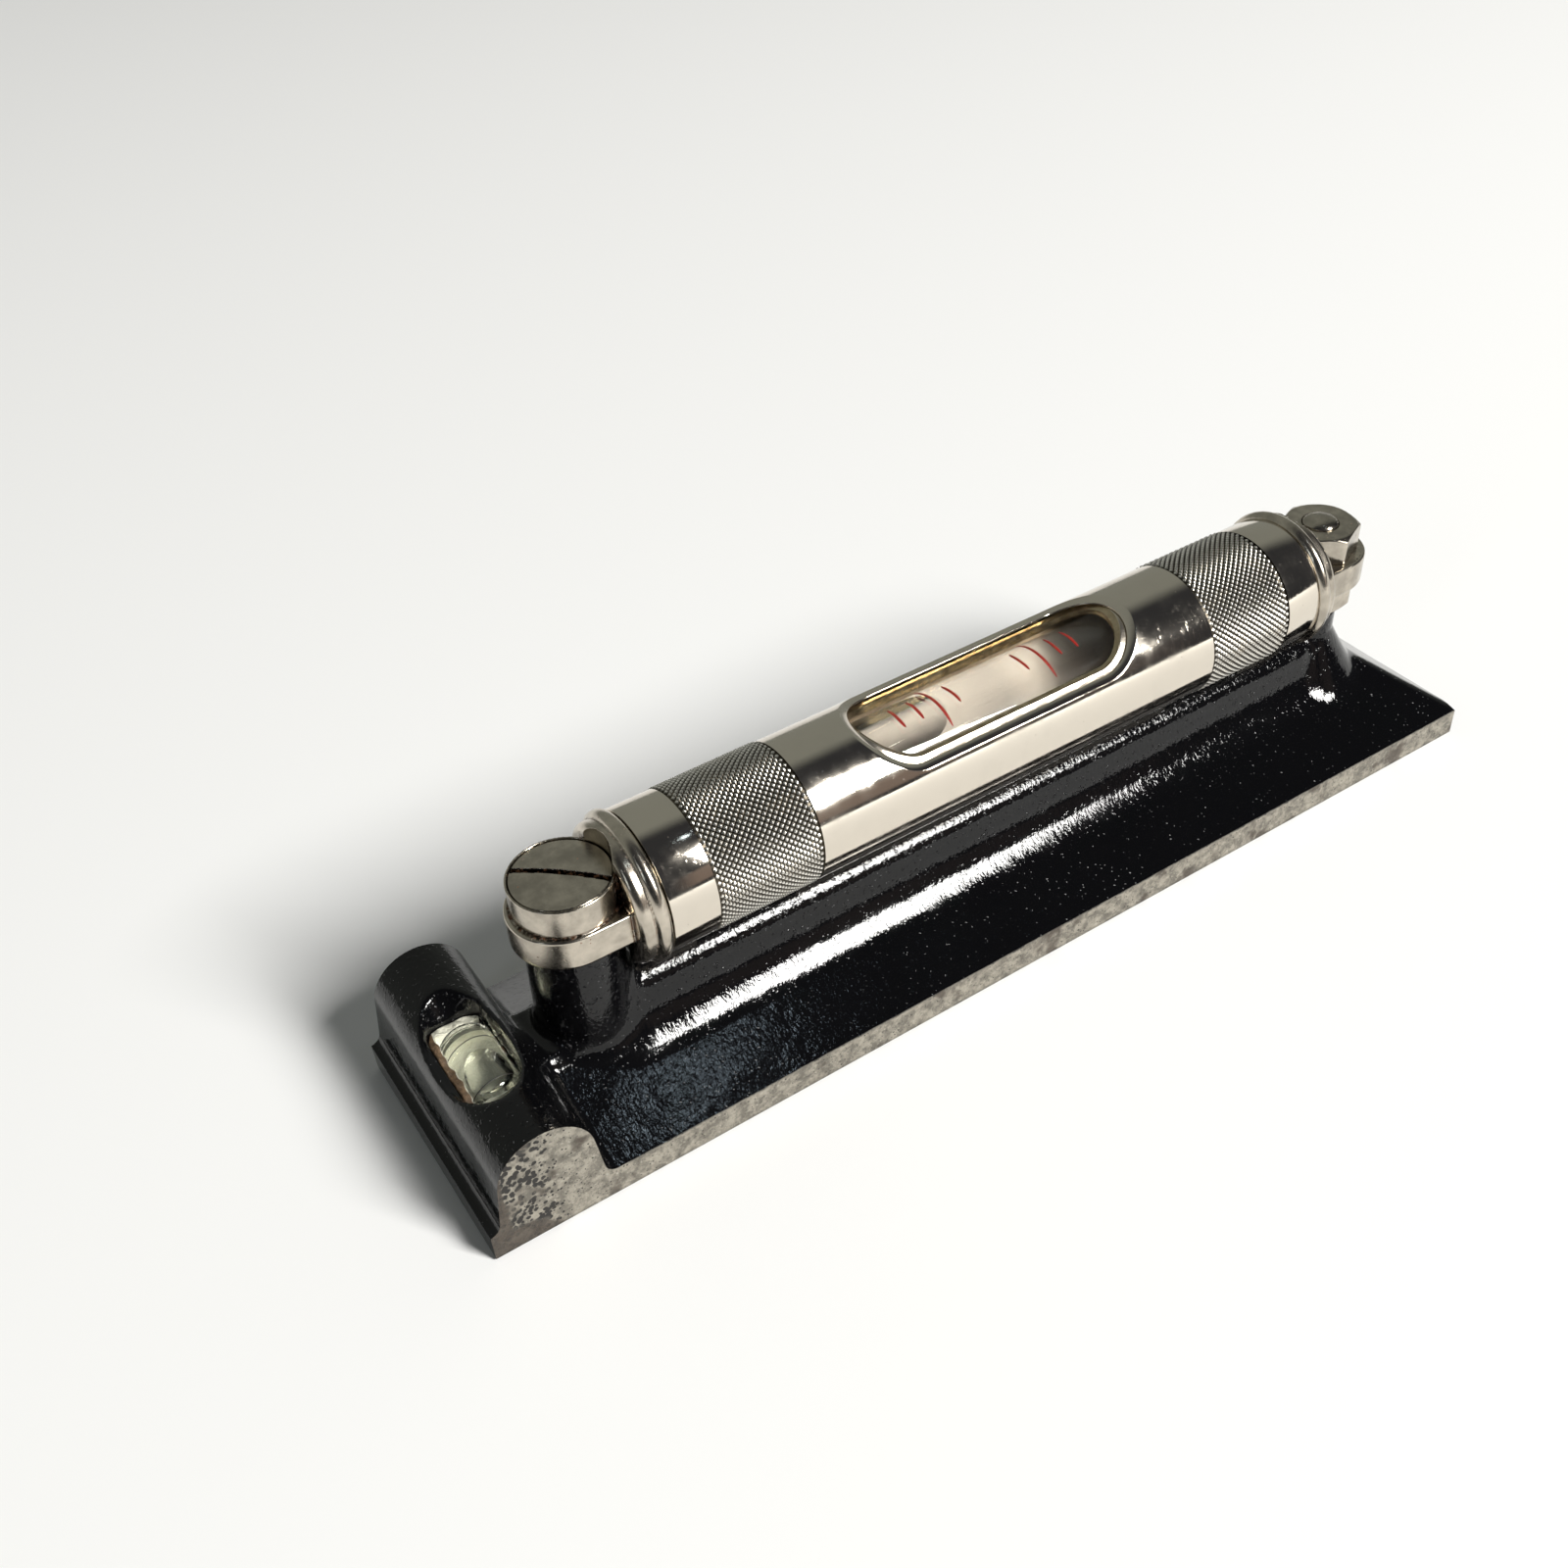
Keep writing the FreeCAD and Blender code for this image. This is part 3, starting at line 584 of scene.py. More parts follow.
def knurl(start, end, valley, crest, flat=0.24):
    """Diamond knurl on a lattice of half pitches, rows along the tube and columns round it.

    Lattice points whose row and column add up to an odd number lie in the valleys. Each even point
    is the middle of a pyramid with a flat top, whose four corners lean to its four neighbours.
    """
    rows = 2 * int(round((end - start) / KNURL_PITCH))
    row, column = np.meshgrid(np.arange(rows + 1), np.arange(ROUND), indexing="ij")
    angle = 2 * math.pi / ROUND

    def spot(r, c, radius):
        return on_tube(start + (end - start) * r / rows, c * angle - math.pi, radius)

    low = spot(row, column, valley).reshape(-1, 3)
    inner = ((row + column) % 2 == 0) & (row > 0) & (row < rows)
    r, c = row[inner], column[inner]
    tops = [spot(r + dr * flat, c + dc * flat, crest) for dr, dc in ((0, 1), (1, 0), (0, -1), (-1, 0))]
    first = len(low) + np.arange(len(r))
    top = [first + k * len(r) for k in range(4)]
    base = [(r + dr) * ROUND + (c + dc) % ROUND for dr, dc in ((0, 1), (1, 0), (0, -1), (-1, 0))]
    faces = [np.stack(top, 1)]
    for k in range(4):
        n = (k + 1) % 4
        faces.append(np.stack([base[k], base[n], top[n], top[k]], 1))
    faces = np.concatenate(faces).tolist()
    for border, inward in ((0, 1), (rows, rows - 1)):
        for c in range(0 if border % 2 == 0 else 1, ROUND, 2):
            left, here, right = border * ROUND + (c - 1) % ROUND, border * ROUND + c, \
                border * ROUND + (c + 1) % ROUND
            tip = inward * ROUND + c
            faces += [[left, here, tip], [here, right, tip]]
    return np.concatenate([low] + tops), faces


def window_patch(start, end, half, rims, radius):
    """The stretch of a tube round its window, from the opening's outline out to the whole circle.

    rims lists (distance outside the opening, distance from the axis): each is the opening's
    round-ended outline grown by that distance. Beyond the last the rows blend evenly from the
    outline to the stretch's edges, laid flat, and are rolled back onto the tube.
    """
    straight = half[0] - half[1]
    side_count = 56
    bow = np.linspace(-math.pi / 2, math.pi / 2, ROUND + 1)
    run = np.linspace(-straight, straight, side_count + 1)
    zero = np.zeros_like(run[1:-1])
    spine = np.r_[np.full(ROUND + 1, -straight), run[1:-1], np.full(ROUND + 1, straight), run[-2:0:-1]]
    aim_x = np.r_[-np.cos(bow), zero, np.cos(bow), zero]
    aim_y = np.r_[np.sin(bow), zero + 1, -np.sin(bow), zero - 1]
    edge_x = np.r_[np.full(ROUND + 1, start), np.linspace(start, end, side_count + 1)[1:-1],
                   np.full(ROUND + 1, end), np.linspace(end, start, side_count + 1)[1:-1]]
    full = np.linspace(-math.pi, math.pi, ROUND + 1)
    edge_angle = np.r_[full, zero + math.pi, full[::-1], zero - math.pi]
    places = []
    for grow, off_axis in rims:
        x = WINDOW_X + spine + aim_x * (half[1] + grow)
        y = aim_y * (half[1] + grow)
        places.append(on_tube(x, np.arcsin(y / off_axis), off_axis))
        last_x, last_angle = x, np.arcsin(y / off_axis)
    for share in np.linspace(0, 1, 30)[1:]:
        x = last_x + (edge_x - last_x) * share
        angle = last_angle + (edge_angle - last_angle) * share
        places.append(on_tube(x, angle, radius))
    rows = np.array(places)
    return rows.reshape(-1, 3), sheet_faces(len(rows), rows.shape[1], wrap=True)


def bevel_rims(width, depth, radius, inner):
    """Rims of a window's edge: the wall, then a bevel that starts and ends in small rounds."""
    slope = np.array([(0.0, 1.0), (0.02, 0.93), (0.08, 0.86), (0.5, 0.45), (0.9, 0.07), (0.97, 0.02),
                      (1.06, 0.0), (1.25, 0.0)])
    rims = [(0.0, inner), (0.0, inner + 0.08)]
    return rims + [(width * w, radius - depth * d) for w, d in slope]


# ---- node arithmetic ----------------------------------------------------------------------------

class Signal:
    """A shader socket that takes part in ordinary arithmetic."""

    def __init__(self, tree, socket):
        self.tree, self.socket = tree, socket

    def _maths(self, operation, *values):
        node = self.tree.nodes.new("ShaderNodeMath")
        node.operation = operation
        for slot, value in zip(node.inputs, values):
            if isinstance(value, Signal):
                self.tree.links.new(value.socket, slot)
            else:
                slot.default_value = value
        return Signal(self.tree, node.outputs[0])

    def __add__(self, other):
        return self._maths("ADD", self, other)

    def __sub__(self, other):
        return self._maths("SUBTRACT", self, other)

    def __rsub__(self, other):
        return self._maths("SUBTRACT", other, self)

    def __mul__(self, other):
        return self._maths("MULTIPLY", self, other)

    def __truediv__(self, other):
        return self._maths("DIVIDE", self, other)

    def __pow__(self, other):
        return self._maths("POWER", self, other)

    __radd__ = __add__
    __rmul__ = __mul__

    def abs(self):
        return self._maths("ABSOLUTE", self)

    def sine(self):
        return self._maths("SINE", self)

    def most(self, other):
        return self._maths("MAXIMUM", self, other)

    def least(self, other):
        return self._maths("MINIMUM", self, other)

    def root(self):
        return self._maths("SQRT", self)

    def rise(self, low, high):
        """0 below low, 1 above high, and a soft step between; low may be the greater."""
        node = self.tree.nodes.new("ShaderNodeMapRange")
        node.interpolation_type = "SMOOTHSTEP"
        flip = low > high
        for slot, value in zip(list(node.inputs)[1:5], (min(low, high), max(low, high), 0, 1)):
            slot.default_value = value
        self.tree.links.new(self.socket, node.inputs[0])
        result = Signal(self.tree, node.outputs[0])
        return 1 - result if flip else result


class Finish:
    """A material in the making, or the world: its tree, and short names for the nodes it uses."""

    def __init__(self, name, owner=None):
        self.made = owner or bpy.data.materials.new(name)
        self.made.use_nodes = True
        self.tree = self.made.node_tree
        self.tree.nodes.clear()
        place = self.add("ShaderNodeTexCoord", output="Object")
        self.mm = self.add("ShaderNodeVectorMath", {"operation": "SCALE"},
                           {0: place, "Scale": 1 / MM})
        self.x, self.y, self.z = [
            self.add("ShaderNodeSeparateXYZ", {}, {0: self.mm}, output=axis) for axis in range(3)]

    def add(self, kind, settings=None, inputs=None, output=0):
        """Any node: its type, its settings, the values or links of its sockets, and the output wanted."""
        node = self.tree.nodes.new(kind)
        for key, value in (settings or {}).items():
            setattr(node, key, value)
        for key, value in (inputs or {}).items():
            if isinstance(value, Signal):
                self.tree.links.new(value.socket, node.inputs[key])
            else:
                node.inputs[key].default_value = value
        return Signal(self.tree, node.outputs[output]) if len(node.outputs) else node

    def stretched(self, sx, sy, sz):
        return self.add("ShaderNodeVectorMath", {"operation": "MULTIPLY"}, {0: self.mm, 1: (sx, sy, sz)})

    def noise(self, scale, detail=2.0, rough=0.5, place=None, lean=0.0):
        return self.add("ShaderNodeTexNoise", {}, {
            "Vector": place or self.mm, "Scale": scale, "Detail": detail, "Roughness": rough,
            "Distortion": lean})

    def cells(self, scale, place=None, feature="F1", jitter=1.0):
        return self.add("ShaderNodeTexVoronoi", {"feature": feature}, {
            "Vector": place or self.mm, "Scale": scale, "Randomness": jitter})

    def cell_shade(self, scale, place=None):
        colour = self.add("ShaderNodeTexVoronoi", {}, {"Vector": place or self.mm, "Scale": scale},
                          output="Color")
        return self.add("ShaderNodeSeparateXYZ", {}, {0: colour})

    def attribute(self, name):
        return self.add("ShaderNodeAttribute", {"attribute_name": name}, output="Fac")

    def tint(self, share, a, b):
        """Colour a where share is 0 and b where it is 1."""
        a = a if isinstance(a, Signal) else (*a, 1)
        b = b if isinstance(b, Signal) else (*b, 1)
        return self.add("ShaderNodeMix", {"data_type": "RGBA"}, {0: share, 6: a, 7: b}, output=2)

    def bump(self, height, depth, below=None):
        """Bumps of that depth in millimetres for a height from 0 to 1."""
        inputs = {"Height": height, "Distance": depth * MM, "Strength": 1.0}
        if below:
            inputs["Normal"] = below
        return self.add("ShaderNodeBump", {}, inputs)

    def surface(self, **sockets):
        shader = self.tree.nodes.new("ShaderNodeBsdfPrincipled")
        for key, value in sockets.items():
            slot = shader.inputs[key.replace("_", " ")]
            if isinstance(value, Signal):
                self.tree.links.new(value.socket, slot)
            else:
                slot.default_value = value
        out = self.tree.nodes.new("ShaderNodeOutputMaterial")
        self.tree.links.new(shader.outputs[0], out.inputs[0])
        return self.made


# ---- finishes -----------------------------------------------------------------------------------

def flecks(f, scale, turn, long, size, share):
    """Crisp short specks, 0 or 1: cells drawn out along a direction, a share of them left in."""
    turned = f.add("ShaderNodeVectorRotate", {"rotation_type": "Z_AXIS"}, {"Vector": f.mm, "Angle": turn})
    drawn = f.add("ShaderNodeVectorMath", {"operation": "MULTIPLY"}, {0: turned, 1: (1 / long, 1, 1)})
    return f.cells(scale, drawn).rise(size, size * 0.6) * f.cell_shade(scale, drawn).rise(share, share - 0.05)


def black_japan(settings):
    """Dipped black japan over sand-cast iron: orange peel, dust and hairs in the film, bright glints."""
    f = Finish("black_japan")
    peel = f.noise(0.8, 3, 0.6)
    fine = f.noise(1.0, 2, 0.55, f.stretched(2.4, 1.1, 1.1))
    pitted = f.noise(1.5, 2, 0.5).rise(0.60, 0.70)
    dusty = f.noise(0.10, 3, 0.6).rise(0.42, 0.62)
    dots = flecks(f, 2.3, 0.3, 1.5, 0.17, 0.25)
    hairs = flecks(f, 1.7, 0.6, 3.6, 0.12, 0.5).most(flecks(f, 1.8, 2.1, 4.0, 0.11, 0.4))
    dust = dots.most(hairs) * (0.2 + 0.8 * dusty)
    thick = f.z.rise(11.5, 13.0)
    runs = f.noise(1.3, 2, 0.6, f.stretched(1.5, 1.5, 0.8))
    height = peel * 0.55 + fine * 0.5 + pitted * 0.2 + dust * 0.2 + thick * (runs + pitted * 0.5)
    colour = f.tint(dust * 0.8, tuple(settings.japan), (0.13, 0.132, 0.135))
    return f.surface(
        Base_Color=colour, Roughness=0.055 + 0.04 * dusty + 0.4 * dust, Specular_IOR_Level=0.36,
        Normal=f.bump(height, 0.042))


def ground_iron(settings):
    """Bare ground cast iron: grainy grey with crisp black pits, brown where it has rusted smooth."""
    f = Finish("ground_iron")
    mottle = f.noise(0.6, 5, 0.7)
    grain = f.noise(3.0, 3, 0.65)
    marks = f.noise(1.0, 2, 0.6, f.stretched(0.25, 4, 5))
    ragged = f.cells(1.5) + 0.55 * grain
    left = (f.x + 3 * mottle).rise(-64.5, -68.5)
    crowd = f.noise(0.45, 2).rise(0.3, 0.6)
    spread = left * (0.14 + 0.30 * crowd)
    pit = (0.44 + spread - ragged).rise(0.0, 0.05)
    margin = (f.x + 1.6 * mottle).rise(-72.6, -73.8)
    smooth = (f.noise(0.22, 3, 0.55) + 0.3 * left * f.z.rise(4.5, 1.0) + margin).rise(0.55, 0.68)
    colour = f.tint(mottle.rise(0.36, 0.64), tuple(0.45 * c for c in settings.iron), tuple(settings.iron))
    colour = f.tint(grain.rise(0.42, 0.30) * 0.5, colour, (0.62, 0.59, 0.51))
    colour = f.tint(smooth * 0.8, colour, (0.075, 0.058, 0.046))
    rim = f.z.rise(0.9, 0.15) * 0.5 + (f.z + 1.2 * mottle).rise(4.55, 4.95) * f.x.rise(-60, -58)
    dark = (pit * (1 - 0.6 * smooth) + grain.rise(0.56, 0.68) * 0.55 + rim).least(1)
    colour = f.tint(dark, colour, (0.016, 0.014, 0.012))
    return f.surface(
        Base_Color=colour, Metallic=(0.75 - dark * 0.75).most(0),
        Roughness=(0.40 + 0.2 * mottle + 0.2 * dark).least(0.85),
        Normal=f.bump(mottle * 0.4 + grain * 0.5 + marks * 0.3 - pit, 0.06))


def scratches(f, scale=1.0):
    """Fine hairlines in three directions, as a height from 0 to 1."""
    total = 0
    for turn, seed in ((0.25, 0.0), (1.1, 7.0), (2.2, 13.0)):
        leaning = f.add("ShaderNodeVectorRotate", {"rotation_type": "EULER_XYZ"},
                        {"Vector": f.mm, "Rotation": (turn, seed, turn * 0.7)})
        lined = f.add("ShaderNodeVectorMath", {"operation": "MULTIPLY"},
                      {0: leaning, 1: (0.35 * scale, 7 * scale, 2.5 * scale)})
        total = total + f.noise(1.0, 1, 0.4, lined).rise(0.66, 0.76) * (1 / 3)
    return total


def polished_nickel(settings, name="polished_nickel", shine=0.07):
    """Bright nickel plate: hairline scratches, faint haze and a scatter of tarnish pits."""
    f = Finish(name)
    haze = f.noise(0.22, 3, 0.6)
    pit = f.cells(0.8).rise(0.055, 0.02) * f.cell_shade(0.8).rise(0.55, 0.6)
    line = scratches(f)
    worn = f.noise(0.5, 4, 0.65).rise(0.58, 0.72)
    colour = f.tint((haze.rise(0.45, 0.8) * 0.35).least(1), tuple(settings.nickel),
                    tuple(0.86 * c for c in settings.nickel))
    colour = f.tint(pit * 0.9, colour, (0.10, 0.07, 0.045))
    rough = shine + 0.09 * haze.rise(0.4, 0.75) + 0.10 * line + 0.07 * worn + 0.4 * pit
    return f.surface(
        Base_Color=colour, Metallic=1.0, Roughness=rough.least(0.8),
        Normal=f.bump(line * 0.5 + haze * 0.5 - pit, 0.008))


def knurled_nickel(settings):
    """The knurl's plate: a painted highlight on the diamonds' crests and painted shade in the valleys between
    them, with patches of bronze grime.
    """
    f = Finish("knurled_nickel")
    off_axis = (f.y * f.y + (f.z - TUBE_Z) * (f.z - TUBE_Z)).root()
    crest = off_axis.rise(SLEEVE_R - 0.12, SLEEVE_R + 0.08)
    grime = f.noise(0.3, 3, 0.6)
    # painted shade in the valleys (near black) and a painted highlight on the crests (brighter than the plain
    # nickel)
    colour = f.tint(crest, (0.06, 0.052, 0.04), (0.92, 0.89, 0.82))
    colour = f.tint(grime.rise(0.5, 0.75) * 0.3, colour, (0.30, 0.25, 0.18))
    return f.surface(
        Base_Color=colour, Metallic=1.0, Roughness=0.33 - crest * 0.12 + grime * 0.08)


def satin_nickel(settings, name="satin_nickel", rings_at=None):
    """Dulled nickel: fine grain, rust specks, painted shade in the creases; rings_at adds turning marks."""
    f = Finish(name)
    grain = f.noise(5.0, 3, 0.6)
    cloud = f.noise(0.35, 4, 0.6)
    hollow = f.attribute("hollow")
    speck = f.cells(0.95).rise(0.11, 0.05) * f.cell_shade(0.95).rise(0.72, 0.78)
    blotch = f.noise(0.8, 4, 0.7).rise(0.66, 0.74)
    line = scratches(f, 1.2)
    height = grain * 0.3 + line * 0.5 - speck * 0.5
    rough = 0.10 + 0.14 * cloud + 0.06 * grain + 0.1 * line
    if rings_at is not None:
        off = ((f.x - rings_at[0]) * (f.x - rings_at[0]) + f.y * f.y).root()
        marks = f.add("ShaderNodeTexNoise", {"noise_dimensions": "1D"},
                      {"W": off, "Scale": 7.0, "Detail": 3.0, "Roughness": 0.7})
        height = height + marks * 1.2
        rough = rough - 0.04
    colour = f.tint(cloud.rise(0.3, 0.7), tuple(0.62 * c for c in settings.satin),
                    tuple(settings.satin))
    # painted shade: dark brown wherever the surface is hollow, in creases and in the gaps between parts
    colour = f.tint(hollow.rise(0.12, 0.6) * 0.95, colour, (0.045, 0.028, 0.016))
    rusty = (speck + blotch * 0.45 + hollow.rise(0.1, 0.5) * f.noise(1.6, 3).rise(0.5, 0.65) * 0.7)
    colour = f.tint(rusty.least(1), colour, tuple(settings.rust))
    return f.surface(
        Base_Color=colour, Metallic=(1 - 0.75 * rusty).most(0), Roughness=(rough + 0.4 * rusty).least(0.9),
        Normal=f.bump(height, 0.014))


def old_brass(settings):
    """The tube's cut edges and bore: brass with worn plate."""
    f = Finish("old_brass")
    worn = f.noise(0.5, 4, 0.65)
    off_axis = (f.y * f.y + (f.z - TUBE_Z) * (f.z - TUBE_Z)).root()
    outside = off_axis.rise(TUBE_R - 0.08, TUBE_R - 0.02)
    colour = f.tint(worn.rise(0.3, 0.7), (0.34, 0.27, 0.17), (0.58, 0.48, 0.32))
    colour = f.tint(outside * 0.8, colour, tuple(settings.nickel))
    return f.surface(
        Base_Color=colour, Metallic=1.0, Roughness=0.16 + 0.16 * worn,
        Normal=f.bump(f.noise(1.0, 3, 0.6, f.stretched(0.6, 5, 5)), 0.02))


def vial_glass(tone=(0.97, 0.985, 0.96), name="vial_glass", ior=1.5):
    f = Finish(name)
    wave = f.noise(0.12, 2)
    smear = f.noise(0.5, 3).rise(0.6, 0.8)
    return f.surface(
        Base_Color=f.tint(wave, tone, tuple(0.985 * c for c in tone)), Roughness=0.015 + 0.03 * smear,
        Transmission_Weight=1.0, IOR=ior, Normal=f.bump(wave, 0.02))


def cream_card(settings):
    """Aged cream strip: faint fibres and yellowing, and painted light that brightens its right end."""
    f = Finish("cream_card")
    fibre = f.noise(4, 3, 0.6, f.stretched(0.3, 1.5, 1.5))
    aged = f.noise(0.12, 3)
    colour = f.tint(aged.rise(0.35, 0.75), tuple(settings.backing),
                    tuple(0.86 * c for c in settings.backing))
    # painted light: the strip grows twice as bright towards its right end, to offset the shade that the
    # window's edge casts there
    colour = f.tint(f.x.rise(9, 22), colour, tuple(2.1 * c for c in settings.backing))
    return f.surface(Base_Color=colour, Roughness=0.75, Normal=f.bump(fibre, 0.02))


def crumbly_cement(name, tone, axis=None):
    """Crumbly cement, darker in its hollows, with a cream lining round an axis given as (x, z)."""
    f = Finish(name)
    lump = f.noise(1.6, 5, 0.65)
    colour = f.tint(lump.rise(0.35, 0.7), tuple(0.45 * c for c in tone), tuple(tone))
    if axis:
        across, up = f.x - axis[0], f.z - axis[1]
        near = (across * across + up * up).root() + 0.1 * lump
        colour = f.tint(near.rise(3.52, 3.44), colour, (0.52, 0.51, 0.42))
    return f.surface(Base_Color=colour, Roughness=0.45 + 0.3 * lump, Normal=f.bump(lump, 0.35))


def red_fill(settings):
    """Red filler in the graduations, chipped a little."""
    f = Finish("red_fill")
    chip = f.noise(5, 3).rise(0.58, 0.7)
    colour = f.tint(chip * 0.6, tuple(settings.line), (0.55, 0.22, 0.12))
    return f.surface(Base_Color=colour, Roughness=0.5 + 0.1 * chip)


# ---- operators ----------------------------------------------------------------------------------

class LEVEL_OT_casting(bpy.types.Operator):
    """Skin of the base casting, cut flat where it is ground, with its two finishes"""
    bl_idname = "level.casting"
    bl_label = "Base casting"

    def execute(self, context):
        settings = context.scene.level_casting
        margin = 0.9
        low = (-HALF_LENGTH - margin, -HALF_WIDTH - margin, -margin)
        high = (HALF_LENGTH + margin, HALF_WIDTH + margin, POST_TOP + margin)
        place, faces = skin(casting, low, high, settings.step)
        waved = rippled(casting, settings.ripple)
        place = settle(waved, place, 0.1, rounds=2)
        mesh = mesh_from("base_casting_skin", place, faces.tolist())
        self.grind(mesh)
        smooth_by_field(mesh, add_hollows(mesh, waved, 0.8))
        stand_in("base_casting_skin", mesh, "base", ["base_casting"], "japanned_iron",
                 black_japan(settings), ground_iron(settings))
        return {"FINISHED"}

    def grind(self, mesh):
        """Cuts the oversize skin at the foot, sides and ends, with a small chamfer round the foot."""
        bm = bmesh.new()
        bm.from_mesh(mesh)
        flat = bm.faces.layers.bool.new("flat")
        chamfer = 0.3
        planes = [((0, 0, 0), (0, 0, -1), 1)]
        for way in (-1, 1):
            planes.append(((0, way * HALF_WIDTH, 0), (0, way, 0), 1))
            planes.append(((way * HALF_LENGTH, 0, 0), (way, 0, 0), 0))
        for way in (-1, 1):
            planes.append(((0, way * (HALF_WIDTH - chamfer), 0), (0, way, -1), 1))
            planes.append(((way * (HALF_LENGTH - chamfer), 0, 0), (way, 0, -1), 0))
        for point, out, finish in planes:
            parts = list(bm.verts) + list(bm.edges) + list(bm.faces)
            result = bmesh.ops.bisect_plane(
                bm, geom=parts, plane_co=Vector(point) * MM, plane_no=Vector(out).normalized(),
                clear_outer=True, dist=1e-8)
            rim = [e for e in result["geom_cut"] if isinstance(e, bmesh.types.BMEdge)]
            filled = bmesh.ops.holes_fill(bm, edges=rim, sides=0)["faces"]
            for face in filled:
                face[flat] = True
                face.material_index = finish
        bmesh.ops.recalc_face_normals(bm, faces=bm.faces)
        for edge in bm.edges:
            edge.smooth = not any(face[flat] for face in edge.link_faces)
        bm.to_mesh(mesh)
        bm.free()


class LEVEL_OT_caps(bpy.types.Operator):
    """The two plated end caps with their lugs, and the pins in them"""
    bl_idname = "level.caps"
    bl_label = "End caps"

    def execute(self, context):
        settings = context.scene.level_metal
        finish = satin_nickel(settings, "cap_nickel")
        for node, field in (("pivot_end_cap", pivot_cap), ("adjusting_end_cap", adjusting_cap)):
            low, high = extent(node)
            mesh = field_mesh(node + "_skin", field, low - 0.6, high + 0.6, 0.2)
            stand_in(node + "_skin", mesh, "tube", [node], "satin_nickel", finish)
        for node in ("pivot_cap_pin", "adjusting_cap_pin"):
            repaint(node, finish)
        return {"FINISHED"}


class LEVEL_OT_tube(bpy.types.Operator):
    """The windowed vial tube and the knurled sleeve that turns on it"""
    bl_idname = "level.tube"
    bl_label = "Tube and sleeve"

    def execute(self, context):
        settings = context.scene.level_metal
        inner_stop, outer_stop = WINDOW_X - 26, WINDOW_X + 26
        rims = bevel_rims(0.75, 0.6, TUBE_R, TUBE_BORE)
        patches = [
            rings([(TUBE_BORE, inner_stop), (TUBE_BORE, TUBE_START), (TUBE_R, TUBE_START),
                   (TUBE_R, inner_stop)]),
            rings([(TUBE_R, outer_stop), (TUBE_R, TUBE_END), (TUBE_BORE, TUBE_END),
                   (TUBE_BORE, outer_stop)]),
            window_patch(inner_stop, outer_stop, TUBE_WINDOW, rims, TUBE_R),
            window_patch(inner_stop, outer_stop, TUBE_WINDOW, [(0.0, TUBE_BORE)], TUBE_BORE),
        ]
        mesh = patches_mesh("vial_tube_shell", patches)
        stand_in("vial_tube_shell", mesh, "tube", ["vial_tube"], "tube_brass", old_brass(settings))

        first, second = KNURLS
        valley, crest = SLEEVE_R - 0.2, SLEEVE_R + 0.115
        soft = 0.12
        rims = bevel_rims(1.05, 0.72, SLEEVE_R, SLEEVE_BORE)
        patches = [
            rings([(SLEEVE_BORE, first[1]), (SLEEVE_BORE, SLEEVE_START), (SLEEVE_R - soft, SLEEVE_START),
                   (SLEEVE_R - soft / 4, SLEEVE_START + soft / 4), (SLEEVE_R, SLEEVE_START + soft),
                   (SLEEVE_R, first[0]), (valley, first[0])]),
            knurl(*first, valley, crest),
            rings([(valley, first[1]), (SLEEVE_R, first[1])]),
            window_patch(first[1], second[0], SLEEVE_WINDOW, rims, SLEEVE_R),
            window_patch(first[1], second[0], SLEEVE_WINDOW, [(0.0, SLEEVE_BORE)], SLEEVE_BORE),
            rings([(SLEEVE_R, second[0]), (valley, second[0])]),
            knurl(*second, valley, crest),
            rings([(valley, second[1]), (SLEEVE_R, second[1]), (SLEEVE_R, SLEEVE_END - soft),
                   (SLEEVE_R - soft / 4, SLEEVE_END - soft / 4), (SLEEVE_R - soft, SLEEVE_END),
                   (SLEEVE_BORE, SLEEVE_END), (SLEEVE_BORE, second[0])]),
        ]
        mesh = patches_mesh("sleeve_shell", patches, 80, turn=SLEEVE_TURN)
        piece = stand_in("sleeve_shell", mesh, "sleeve", ["sleeve"], "polished_nickel",
                         polished_nickel(settings), knurled_nickel(settings))
        centres = np.array([p.center for p in mesh.polygons]) / MM
        off_axis = np.hypot(centres[:, 1], centres[:, 2] - TUBE_Z)
        rough = np.zeros(len(centres), int)
        for start, end in KNURLS:
            rough |= (centres[:, 0] > start) & (centres[:, 0] < end) & (off_axis > SLEEVE_BORE + 0.3)
        piece.data.polygons.foreach_set("material_index", rough)
        return {"FINISHED"}


